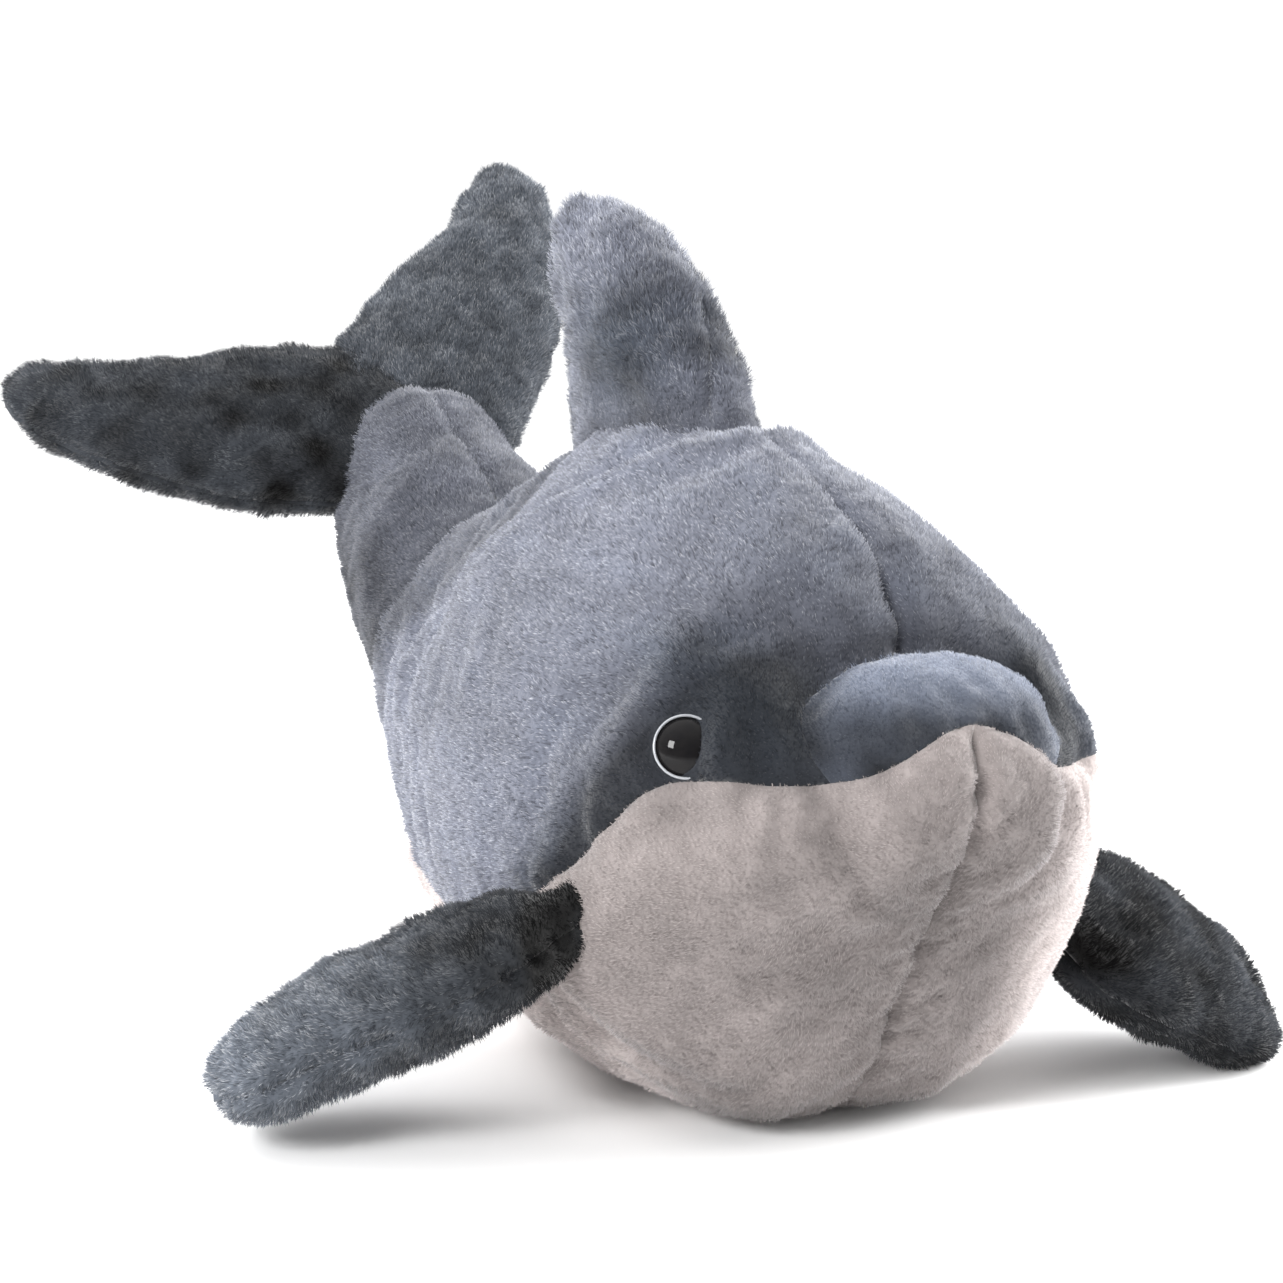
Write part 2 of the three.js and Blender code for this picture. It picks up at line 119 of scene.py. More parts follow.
FLIPPER_PITCH = {"right": 4, "left": -30}
FLUKE_SPLAY = 48
FLUKE_RISE = 30
FLUKE_TURN = 15
FLUKE_TWIST = 28
FIN_POWER = 2.1
FLIPPER_BROADER = {"right": 0.0, "left": 0.055}
# Painted shade of each fin: its tone at the root and near the tip, darkest at the roots and lighter or darker from
# fin to fin as the light falls on them.
FLIPPER_PAINTED_SHADE = {"right": (0.02, 0.95), "left": (0.05, 0.20)}
FLUKE_PAINTED_SHADE = {"right": (0.12, 0.26), "left": (0.48, 0.74)}
EYE_SHARE = 0.35
EYE_ANGLE = 19.8
EYE_RADIUS = 0.008
EYE_DOME = 0.0048
EYE_SINK = 0.0026
EYE_FIT = 0.97
RIM_HEIGHT = -0.0008
RIM_HALF_WIDTH = 0.00036
RIM_HALF_HEIGHT = 0.0007
TURN_STEPS = 64
DOME_STEPS = 16
RIM_STEPS = 12
EYE_INSET = {"left": 0.002, "right": 0.0010}
EYE_ASIDE = {"left": -0.25, "right": -0.48}

# Body: length, middle, half width, rise and drop from the middle, lean.
BODY_ROWS = [
    [0, 0.495, 0.079, 0.041, 0.041, 0],
    [0.015, 0.495, 0.164, 0.077, 0.092, 0],
    [0.036, 0.495, 0.23, 0.097, 0.153, 0],
    [0.062, 0.5, 0.297, 0.112, 0.214, 0],
    [0.087, 0.505, 0.343, 0.133, 0.306, 0],
    [0.113, 0.505, 0.388, 0.163, 0.398, 0],
    [0.145, 0.5, 0.432, 0.235, 0.454, 0],
    [0.193, 0.49, 0.464, 0.318, 0.482, 0],
    [0.255, 0.474, 0.476, 0.38, 0.474, 0],
    [0.345, 0.459, 0.489, 0.434, 0.462, 0],
    [0.455, 0.444, 0.486, 0.474, 0.446, 0],
    [0.6, 0.434, 0.446, 0.49, 0.436, 0.042],
    [0.727, 0.439, 0.386, 0.415, 0.441, 0.167],
    [0.836, 0.454, 0.334, 0.328, 0.405, 0.417],
    [0.927, 0.474, 0.297, 0.265, 0.296, 0.708],
    [1, 0.5, 0.273, 0.235, 0.24, 1],
    [1.051, 0.531, 0.248, 0.209, 0.214, 1.167],
]
# Beak: length, half width, rise, drop.
BEAK_ROWS = [
    [0, 0.1, 0.1, 0.1],
    [0.05, 0.26, 0.25, 0.25],
    [0.16, 0.355, 0.38, 0.38],
    [0.32, 0.425, 0.475, 0.45],
    [0.52, 0.47, 0.5, 0.49],
    [0.75, 0.5, 0.485, 0.52],
    [1, 0.5, 0.47, 0.5],
]
# Tail stock: length, radius, lean between the crease and its end.
STOCK_ROWS = [
    [0, 0.985, 0],
    [0.08, 0.995, 0.12],
    [0.2, 1, 0.3],
    [0.4, 0.95, 0.6],
    [0.58, 0.88, 0.82],
    [0.78, 0.79, 1],
    [0.89, 0.64, 1],
    [0.965, 0.39, 1],
    [1, 0.13, 1],
]
# Fins: length from the root, middle of the width, half width, half thickness. The fins, the side seam and the eyes
# are shaped a little nearer to the photograph than in the solids.
DORSAL_ROWS = [
    [-0.4, -0.1, 0.54, 0.5],
    [0, -0.01, 0.5, 0.54],
    [0.37, 0.105, 0.435, 0.53],
    [0.68, 0.285, 0.365, 0.48],
    [0.87, 0.41, 0.29, 0.4],
    [1, 0.5, 0.11, 0.17],
]
# Seam down the front of the dorsal fin: share of its height, distance to its left.
DORSAL_SEAM = [[0, -0.007], [0.07, -0.0066], [0.36, -0.0007], [0.53, 0.0035], [0.7, 0.006], [1, 0.0055]]
FLIPPER_ROWS = [
    [-0.2, 0.12, 0.12, 0.26],
    [0.02, 0.16, 0.22, 0.34],
    [0.13, 0.14, 0.4, 0.43],
    [0.28, 0.13, 0.51, 0.49],
    [0.44, 0.115, 0.525, 0.5],
    [0.6, 0.06, 0.5, 0.5],
    [0.84, 0.12, 0.42, 0.42],
    [0.95, 0.16, 0.29, 0.3],
    [1, 0.18, 0.1, 0.12],
]
FLUKE_ROWS = [
    [-0.04, 0.01, 0.51, 0.42],
    [0.12, 0.06, 0.61, 0.46],
    [0.3, 0.045, 0.615, 0.5],
    [0.5, 0.0, 0.54, 0.5],
    [0.7, -0.03, 0.38, 0.47],
    [0.873, 0.03, 0.28, 0.4],
    [0.965, 0.085, 0.195, 0.26],
    [1.005, 0.11, 0.07, 0.08],
]
# Side seam: length along the body, height.
SEAM_ROWS = [
    [-0.06, MOUTH_SHARE],
    [0.12, MOUTH_SHARE],
    [0.15, 0.492],
    [0.19, 0.43],
    [0.24, 0.36],
    [0.32, 0.28],
    [0.42, 0.195],
    [0.56, 0.16],
    [0.7, 0.13],
    [0.84, 0.135],
    [0.94, 0.185],
    [1.03, 0.275],
    [1.12, 0.455],
    [1.2, 0.57],
    [1.28, 0.71],
    [1.4, 0.92],
]


# The curve through rows that the solids use, at shares of its rows.
def curve_points(rows, shares):
    rows = np.asarray(rows, float)
    last = len(rows) - 1
    at = np.clip(np.asarray(shares, float), 0, 1) * last
    index = np.minimum(np.floor(at).astype(int), last - 1)
    u = (at - index)[:, None]
    ends = np.vstack([2 * rows[0] - rows[1], rows, 2 * rows[-1] - rows[-2]])
    before, start, end, after = (ends[index + k] for k in range(4))

    def spread(a, b):
        return np.sqrt(np.linalg.norm(b - a, axis=1))[:, None]

    middle = spread(start, end)
    middle[middle < 1e-6] = 1
    first, third = spread(before, start), spread(end, after)
    first = np.where(first < 1e-6, middle, first)
    third = np.where(third < 1e-6, middle, third)
    leave = (start - before) / first - (end - before) / (first + middle) + (end - start) / middle
    reach = (end - start) / middle - (after - start) / (middle + third) + (after - end) / third
    leave, reach = leave * middle, reach * middle
    square = -3 * start + 3 * end - 2 * leave - reach
    cube = 2 * start - 2 * end + leave + reach
    return start + u * (leave + u * (square + u * cube))


class Form:
    """The surface through rows of a place, half sizes (side, up, down) and a lean."""

    def __init__(self, places, sizes, leans, power=2.0, under_power=None):
        self.places, self.sizes, self.leans = places, sizes, leans
        self.power = power
        self.under_power = under_power or power

    def point(self, share, degrees):
        share, degrees = np.broadcast_arrays(np.asarray(share, float), np.asarray(degrees, float))
        shape = share.shape
        share, angle = share.ravel(), np.radians(degrees.ravel())
        place = curve_points(self.places, share)
        size = curve_points(self.sizes, share)
        lean = np.radians(curve_points(self.leans, share)[:, 0])
        upper = np.sin(angle) > 0
        power = 2 / np.where(upper, self.power, self.under_power)
        side = np.sign(np.cos(angle)) * np.abs(np.cos(angle)) ** power * size[:, 0]
        rise = np.sign(np.sin(angle)) * np.abs(np.sin(angle)) ** power * np.where(upper, size[:, 1], size[:, 2])
        across = np.stack([side, -np.sin(lean) * rise, np.cos(lean) * rise], 1)
        return (place + across).reshape(*shape, 3)

    def normal(self, share, degrees):
        step = 0.01
        along = self.point(share + step, degrees) - self.point(share - step, degrees)
        round_ = self.point(share, degrees + 360 * step) - self.point(share, degrees - 360 * step)
        normal = np.cross(round_, along)
        return normal / np.linalg.norm(normal)

    def mesh(self, sides, steps):
        """Vertices and faces of the closed surface."""
        shares = np.linspace(0, 1, steps + 1)
        angles = np.arange(sides) / sides * 360
        grid = self.point(shares[:, None], angles[None, :]).reshape(-1, 3)
        ends = curve_points(self.places, [0, 1])
        verts = np.vstack([grid, ends])
        side = np.arange(sides)
        beside = (side + 1) % sides
        faces = []
        for step in range(steps):
            a, b = step * sides, (step + 1) * sides
            faces += np.stack([a + side, a + beside, b + beside, b + side], 1).tolist()
        first, last = len(grid), len(grid) + 1
        top = steps * sides
        faces += np.stack([np.full(sides, first), beside, side], 1).tolist()
        faces += np.stack([np.full(sides, last), top + side, top + beside], 1).tolist()
        return verts, faces


BODY = Form(
    [[0, BODY_FRONT + r[0] * BODY_LENGTH, r[1] * BODY_HEIGHT] for r in BODY_ROWS],
    [[r[2] * BODY_WIDTH, r[3] * BODY_HEIGHT, r[4] * BODY_HEIGHT] for r in BODY_ROWS],
    [[r[5] * CREASE_LEAN] for r in BODY_ROWS],
    BACK_POWER,
    BELLY_POWER,
)
BEAK_WIDTH = 2 * (BODY.point(EYE_SHARE, EYE_ANGLE)[0] - BEAK_EYE_INSET)
BEAK = Form(
    [[0, BEAK_FRONT + r[0] * BEAK_LENGTH, MOUTH_SHARE * BODY_HEIGHT] for r in BEAK_ROWS],
    [[r[1] * BEAK_WIDTH, r[2] * BEAK_HEIGHT, r[3] * BEAK_HEIGHT] for r in BEAK_ROWS],
    [[0] for r in BEAK_ROWS],
)
CREASE_ROW = BODY_ROWS[-2]
STOCK_RADIUS = CREASE_ROW[2] * BODY_WIDTH - FABRIC - GAP
HINGE = np.array([0, BODY_FRONT + CREASE_ROW[0] * BODY_LENGTH, CREASE_ROW[1] * BODY_HEIGHT])
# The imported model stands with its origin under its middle, away from the forms' own origin.
SHIFT = np.array(joints["tail_bend"]["pos_m"]) - HINGE


def stock_form():
    places, sizes, leans = [], [], []
    place, before, lean = HINGE.copy(), 0, CREASE_LEAN
    for along, radius, turn in STOCK_ROWS:
        after = CREASE_LEAN + turn * (STOCK_END_LEAN - CREASE_LEAN)
        heading = math.radians((lean + after) / 2)
        run = (along - before) * STOCK_LENGTH
        place = place + np.array([0, math.cos(heading) * run, math.sin(heading) * run])
        places.append(place)
        sizes.append([radius * STOCK_RADIUS] * 3)
        leans.append([after])
        before, lean = along, after
    return Form(places, sizes, leans)


def fin_form(rows, size):
    places = [[r[1] * size["width"], r[0] * size["length"], 0] for r in rows]
    sizes = [[r[2] * size["width"], r[3] * size["thickness"], r[3] * size["thickness"]] for r in rows]
    return Form(places, sizes, [[0] for r in rows], FIN_POWER)


STOCK = stock_form()
# How far the top of the stock sags behind the crease, and how far its right side is drawn in.
STOCK_SAG = 0.0085
STOCK_SLIM = 0.0030

SEAM_LINE = curve_points(
    [[BODY_FRONT + r[0] * BODY_LENGTH, r[1] * BODY_HEIGHT] for r in SEAM_ROWS], np.linspace(0, 1, 240)
)


# Height of the side seam, whose line arches over the middle of the mouth.
def seam_height(points):
    x, y = points[:, 0], points[:, 1]
    front = np.clip((BODY_FRONT + ARCH_DEPTH - y) / ARCH_DEPTH, 0, 1)
    front = front * front * (3 - 2 * front)
    arch = ARCH_RISE * np.exp(-((x / ARCH_HALF_WIDTH) ** 2)) * front
    return np.interp(y, SEAM_LINE[:, 0], SEAM_LINE[:, 1]) + arch


# Smooth seeded noise from waves that run in many directions, about -1 to 1.
def waves(points, size, seed, count=14):
    rng = np.random.default_rng(seed)
    ways = rng.normal(size=(count, 3))
    ways *= (2 * math.pi / size * rng.uniform(0.6, 1.5, count) / np.linalg.norm(ways, axis=1))[:, None]
    phases = rng.uniform(0, 2 * math.pi, count)
    total = np.zeros(len(points))
    for way, phase in zip(ways, phases):
        total += np.sin(points @ way + phase)
    return total * math.sqrt(2 / count) * 0.7


def hump(distance, width):
    return np.exp(-((distance / width) ** 2))


def groove(distance, size):
    """A rounded groove at a distance of 0, of a (width, depth)."""
    width, depth = size
    return hump(distance, width) * depth


def ease(value, start, end):
    t = np.clip((value - start) / (end - start), 0, 1)
    return t * t * (3 - 2 * t)


# A mesh as numpy arrays, and back.
def unit(vectors):
    return vectors / np.maximum(np.linalg.norm(vectors, axis=-1, keepdims=True), 1e-12)


def new_object(name, verts, faces):
    mesh = bpy.data.meshes.new(name)
    mesh.from_pydata([tuple(v) for v in np.asarray(verts).tolist()], [], faces)
    mesh.update()
    piece = bpy.data.objects.new(name, mesh)
    bpy.context.scene.collection.objects.link(piece)
    return piece


def read(items, key, width=3, kind=np.float32):
    flat = np.zeros(len(items) * width, kind)
    items.foreach_get(key, flat)
    return flat.reshape(-1, width)


def coordinates(mesh):
    return read(mesh.vertices, "co").astype(float)


def vertex_normals(mesh):
    return read(mesh.vertex_normals, "vector").astype(float)


def face_centres(mesh):
    return read(mesh.polygons, "center").astype(float)


def triangles(mesh):
    mesh.calc_loop_triangles()
    return read(mesh.loop_triangles, "vertices", kind=np.int32)


def move_to(mesh, points):
    mesh.vertices.foreach_set("co", np.asarray(points, np.float32).ravel())
    mesh.update()


def edges_of(mesh):
    return read(mesh.edges, "vertices", 2, np.int32)


@contextmanager
def edited(mesh):
    """The mesh opened for edits, which are written back to it."""
    made = bmesh.new()
    made.from_mesh(mesh)
    yield made
    made.to_mesh(mesh)
    made.free()


def outward(mesh):
    with edited(mesh) as made:
        bmesh.ops.recalc_face_normals(made, faces=made.faces)


def modified(piece):
    """The mesh of a piece as its modifiers leave it."""
    shaped = piece.evaluated_get(bpy.context.evaluated_depsgraph_get())
    return bpy.data.meshes.new_from_object(shaped)


def along_skin(way, normal):
    """Directions laid flat on a surface."""
    return unit(way - normal * np.sum(way * normal, 1, keepdims=True))


def moved(points, matrix):
    return points @ matrix[:3, :3].T + matrix[:3, 3]


def smoothed(points, edges, rounds):
    count = np.zeros(len(points))
    np.add.at(count, edges.ravel(), 1)
    count = np.maximum(count, 1)[:, None]
    for _ in range(rounds):
        total = np.zeros_like(points)
        for axis in range(3):
            total[:, axis] += np.bincount(edges[:, 0], points[edges[:, 1], axis], len(points))
            total[:, axis] += np.bincount(edges[:, 1], points[edges[:, 0], axis], len(points))
        points = points + (total / count - points) * 0.5
    return points


def voxel_skin(name, parts, size):
    """One skin round several closed forms."""
    verts, faces = [], []
    for part_verts, part_faces in parts:
        start = sum(len(v) for v in verts)
        verts.append(part_verts)
        faces += [[start + i for i in face] for face in part_faces]
    rough = new_object(name + "_rough", np.vstack(verts), faces)
    remesh = rough.modifiers.new("remesh", "REMESH")
    remesh.mode = "VOXEL"
    remesh.voxel_size = size
    mesh = modified(rough)
    bpy.data.objects.remove(rough)
    return mesh


def stuffed(name, parts, held, points):
    """How far cloth over some closed forms moves at points, pressed out by its filling and held by its seams."""
    scene = bpy.context.scene
    mesh = voxel_skin(name, parts, scene.plush_sizes.weave)
    outward(mesh)
    cloth = bpy.data.objects.new(name + "_cloth", mesh)
    scene.collection.objects.link(cloth)
    rest = coordinates(mesh)
    seams = cloth.vertex_groups.new(name="seams")
    for index, weight in enumerate(held(rest).tolist()):
        seams.add([index], weight, "REPLACE")
    simulation = cloth.modifiers.new("cloth", "CLOTH").settings
    simulation.quality = 5
    simulation.mass = 0.2
    simulation.tension_stiffness = simulation.compression_stiffness = 12
    simulation.shear_stiffness = 4
    simulation.bending_stiffness = 0.4
    simulation.use_pressure = True
    simulation.uniform_pressure_force = scene.plush_sizes.pressure
    simulation.shrink_min = -scene.plush_sizes.ease
    simulation.vertex_group_mass = "seams"
    simulation.effector_weights.gravity = 0
    for step in range(1, CLOTH_FRAMES + 1):
        scene.frame_set(step)
    shaped = cloth.evaluated_get(bpy.context.evaluated_depsgraph_get())
    moves = coordinates(shaped.data) - rest
    moves -= smoothed(moves, edges_of(mesh), CLOTH_TREND)
    bpy.data.objects.remove(cloth)
    scene.frame_set(1)
    length = np.linalg.norm(moves, axis=1, keepdims=True)
    moves *= np.minimum(1, CLOTH_MOST / np.maximum(length, 1e-9))
    tree = KDTree(len(rest))
    for index, place in enumerate(rest.tolist()):
        tree.insert(place, index)
    tree.balance()
    spread = scene.plush_sizes.weave * 0.8
    found = [tree.find_n(point, 6) for point in points.tolist()]
    near = np.array([[hit[1] for hit in hits] for hits in found])
    weights = np.exp(-((np.array([[hit[2] for hit in hits] for hits in found]) / spread) ** 2)) + 1e-9
    return np.sum(moves[near] * weights[:, :, None], 1) / weights.sum(1, keepdims=True)


# Panels: faces of one skin by the panel that each belongs to, each made a piece of its own.
def cut_panels(mesh, names, which):
    pieces = {}
    for index, name in enumerate(names):
        panel = mesh.copy()
        panel.name = name
        with edited(panel) as made:
            others = [face for face in made.faces if which[face.index] != index]
            bmesh.ops.delete(made, geom=others, context="FACES")
        piece = bpy.data.objects.new(name, panel)
        bpy.context.scene.collection.objects.link(piece)
        pieces[name] = piece
    return pieces


def cut_along(mesh, value_of):
    """New edges along the line where a value of the corners changes sign, so that a panel ends in a clean edge."""
    values = value_of(coordinates(mesh))
    with edited(mesh) as made:
        added = set()
        ends = [(edge, values[edge.verts[0].index], values[edge.verts[1].index]) for edge in made.edges]
        for edge, low, high in [end for end in ends if end[1] * end[2] < 0]:
            added.add(bmesh.utils.edge_split(edge, edge.verts[0], low / (low - high))[1])
        touched = {face for vert in added for face in vert.link_faces}
        for face in sorted(touched, key=lambda f: f.index):
            cut = [vert for vert in face.verts if vert in added]
            if len(cut) == 2:
                bmesh.utils.face_split(face, cut[0], cut[1])
        bmesh.ops.triangulate(made, faces=[face for face in made.faces if len(face.verts) > 4])
    mesh.update()


def nearest(points, form, sides, steps):
    """How far each point lies from the surface of a form."""
    verts, faces = form.mesh(sides, steps)
    tree = BVHTree.FromPolygons(verts.tolist(), faces)
    return np.array([tree.find_nearest(point)[3] for point in points.tolist()])


def beak_over_body(points):
    """Above 0 where the skin belongs to the beak, below 0 where it belongs to the body."""
    value = np.full(len(points), -1.0)
    near = (points[:, 1] < BEAK_FRONT + BEAK_LENGTH * 1.3) & (points[:, 2] > MOUTH_SHARE * BODY_HEIGHT - 0.02)
    close = points[near]
    value[near] = nearest(close, BODY, 90, 80) - nearest(close, BEAK, 90, 60)
    return value


def distance_to_path(points, path):
    """Distance of each point from a path, and how far along the path that is, 0 to 1."""
    path = np.asarray(path, float)
    lengths = np.linalg.norm(np.diff(path, axis=0), axis=1)
    before = np.concatenate([[0], np.cumsum(lengths)])
    best, along = np.full(len(points), 1e9), np.zeros(len(points))
    for start, end, length, run in zip(path[:-1], path[1:], lengths, before):
        share = np.clip((points - start) @ (end - start) / length**2, 0, 1)
        away = np.linalg.norm(points - start - share[:, None] * (end - start), axis=1)
        closer = away < best
        best[closer], along[closer] = away[closer], (run + share * length)[closer] / before[-1]
    return best, along


class Socket:
    """A shader socket that works in sums: an expression on it adds its own Math nodes."""

    def __init__(self, paint, socket):
        self.paint, self.socket = paint, socket

    def _sum(self, operation, a, b):
        return self.paint.node("ShaderNodeMath", {"operation": operation}, {0: a, 1: b})

    def __add__(self, other):
        return self._sum("ADD", self, other)

    def __mul__(self, other):
        return self._sum("MULTIPLY", self, other)

    def __pow__(self, other):
        return self._sum("POWER", self, other)

    __radd__ = __add__
    __rmul__ = __mul__


class Finish:
    """One procedural finish and its node tree."""

    def __init__(self, name, tree=None):
        if tree is None:
            self.material = bpy.data.materials.new(name)
            self.material.use_nodes = True
            tree = self.material.node_tree
        self.tree = tree
        self.tree.nodes.clear()

    def node(self, kind, options=None, inputs=None, output=0):
        made = self.tree.nodes.new(kind)
        for key, value in (options or {}).items():
            setattr(made, key, value)
        for key, value in (inputs or {}).items():
            if isinstance(value, Socket):
                self.tree.links.new(value.socket, made.inputs[key])
            else:
                made.inputs[key].default_value = value
        return None if output is None else Socket(self, made.outputs[output])

    def attribute(self, name, output="Fac"):
        return self.node("ShaderNodeAttribute", {"attribute_name": name}, output=output)

    def noise(self, scale, detail=2.0, rough=0.5, where=None):
        inputs = {"Scale": scale, "Detail": detail, "Roughness": rough}
        inputs["Vector"] = where or self.attribute("place", "Vector")
        return self.node("ShaderNodeTexNoise", {}, inputs)

    def mix(self, amount, first, second, blend="MIX"):
        first, second = ((*c, 1) if isinstance(c, tuple) else c for c in (first, second))
        options = {"data_type": "RGBA", "blend_type": blend, "clamp_factor": True}
        return self.node("ShaderNodeMix", options, {0: amount, 6: first, 7: second}, 2)

    def toward(self, way, direction):
        options = {"operation": "DOT_PRODUCT"}
        return self.node("ShaderNodeVectorMath", options, {0: way, 1: direction}, "Value")

    def range(self, value, low, high, to_low=0.0, to_high=1.0):
        return self.node("ShaderNodeMapRange", {}, {0: value, 1: low, 2: high, 3: to_low, 4: to_high})

    def surface(self, **inputs):
        shader = self.node("ShaderNodeBsdfPrincipled", {}, {k.replace("_", " "): v for k, v in inputs.items()})
        self.node("ShaderNodeOutputMaterial", {}, {"Surface": shader}, None)
        return self.material


def shaded(colour, factor):
    return tuple(min(1.0, c * factor) for c in colour[:3])


# Fur: each blade is dark at its root, painted shade where the pile shades itself, and pale at its tip, and its tint
# varies from blade to blade and from patch to patch. Some blades are flecked darker at random, and the tips of
# others carry a painted glint, a painted highlight in their colour. The tone then darkens the whole fibre with
# painted shade and painted light over the toy.
def pile_finish(name, colour, patch, glint, sheen):
    made = bpy.data.materials.get(name)
    if made:
        return made
    finish = Finish(name)
    tip = finish.attribute("tip")
    shade = finish.attribute("shade")
    mottle = finish.range(finish.noise(45, 3, 0.6), 0.32, 0.68)
    fine = finish.range(finish.noise(240, 2, 0.6), 0.3, 0.7)
    body = finish.mix(mottle * 0.6 + fine * 0.4, shaded(colour, 0.86), shaded(colour, 1.1))
    body = finish.mix(finish.attribute("patch"), body, tuple(patch[:3]))
    # Painted glint: a near-white colour that stands for highlights on the tips of some tufts.
    glint_colour = tuple(c + (1 - c) * 0.72 for c in shaded(colour, 1.25))
    body = finish.mix(finish.range(shade, 0.0, -1.0) * glint * 0.75, body, shaded(colour, 0.25))
    body = finish.mix(finish.range(shade, 0.0, 1.0) * tip**3 * glint, body, glint_colour)
    # Painted shade: each tuft darkens towards its root.
    root = finish.mix(0.8, body, shaded(colour, 0.3))
    fibre = finish.mix(finish.range(tip, 0.0, 0.75, 0.1, 1.0), root, body)
    # Painted shade and painted light: the tone darkens the fibre as the light falls over the toy.
    fibre = finish.mix(finish.attribute("tone"), (0.0, 0.0, 0.0), fibre)
    return finish.surface(
        Base_Color=fibre,
        Roughness=0.85,
        Specular_IOR_Level=0.12,
        Sheen_Weight=sheen,
        Sheen_Roughness=0.45,
        Sheen_Tint=(0.93, 0.95, 1.0, 1),
    )


# Backing cloth under the fur: a fine knit, as dark as the painted shade at the roots of the fur, painted shade under
# the pile, and darkened by the same painted tone as the fur.
def backing_finish(name, colour, patch):
    made = bpy.data.materials.get(name)
    if made:
        return made
    finish = Finish(name)
    place = finish.attribute("place", "Vector")
    knit = finish.node("ShaderNodeTexVoronoi", {}, {"Vector": place, "Scale": 900.0})
    mottle = finish.range(finish.noise(70, 3, 0.6), 0.3, 0.7)
    base = finish.mix(mottle, shaded(colour, 0.55), shaded(colour, 0.8))
    base = finish.mix(finish.attribute("patch") * 0.8, base, shaded(patch, 0.7))
    base = finish.mix(finish.attribute("tone"), (0.0, 0.0, 0.0), base)
    bump = finish.node("ShaderNodeBump", {}, {"Strength": 0.35, "Distance": 0.0004, "Height": knit})
    return finish.surface(Base_Color=base, Roughness=0.95, Specular_IOR_Level=0.2, Sheen_Weight=0.3, Normal=bump)


def store(mesh, name, values, kind="FLOAT"):
    made = mesh.attributes.get(name) or mesh.attributes.new(name, kind, "POINT")
    key = "value" if kind == "FLOAT" else "vector"
    made.data.foreach_set(key, np.asarray(values, np.float32).ravel())


# Each sort of fur: tufts on a square metre, length and width of a tuft, all three against the sizes in the panel,
# how steeply it stands in degrees, how far it is ruffled, how patchy its shade is, how strongly some tufts are
# flecked darker and the tips of others carry a painted glint, and how softly its edges shine.
FUR_TRAITS = ("tufts", "length", "width", "lie", "ruffle", "mottle", "glint", "sheen")
FUR_ROWS = {
    "back": (1.1, 0.8, 1.15, 40, 0.8, 0.25, 1.0, 0.4),
    "shag": (1.1, 1.25, 1.1, 38, 1.4, 0.6, 0.9, 0.5),
    "belly": (1.2, 0.75, 1.0, 38, 0.9, 0.3, 0.35, 0.3),
    "beak": (1.3, 0.6, 0.9, 32, 0.7, 0.3, 0.6, 0.3),
    "fin": (1.2, 1.1, 1.0, 42, 1.3, 0.6, 0.9, 0.12),
}
FURS = {sort: dict(zip(FUR_TRAITS, row)) for sort, row in FUR_ROWS.items()}


def clumps(at, size, seed):
    return np.stack([waves(at, size, seed + k) for k in range(3)], 1)


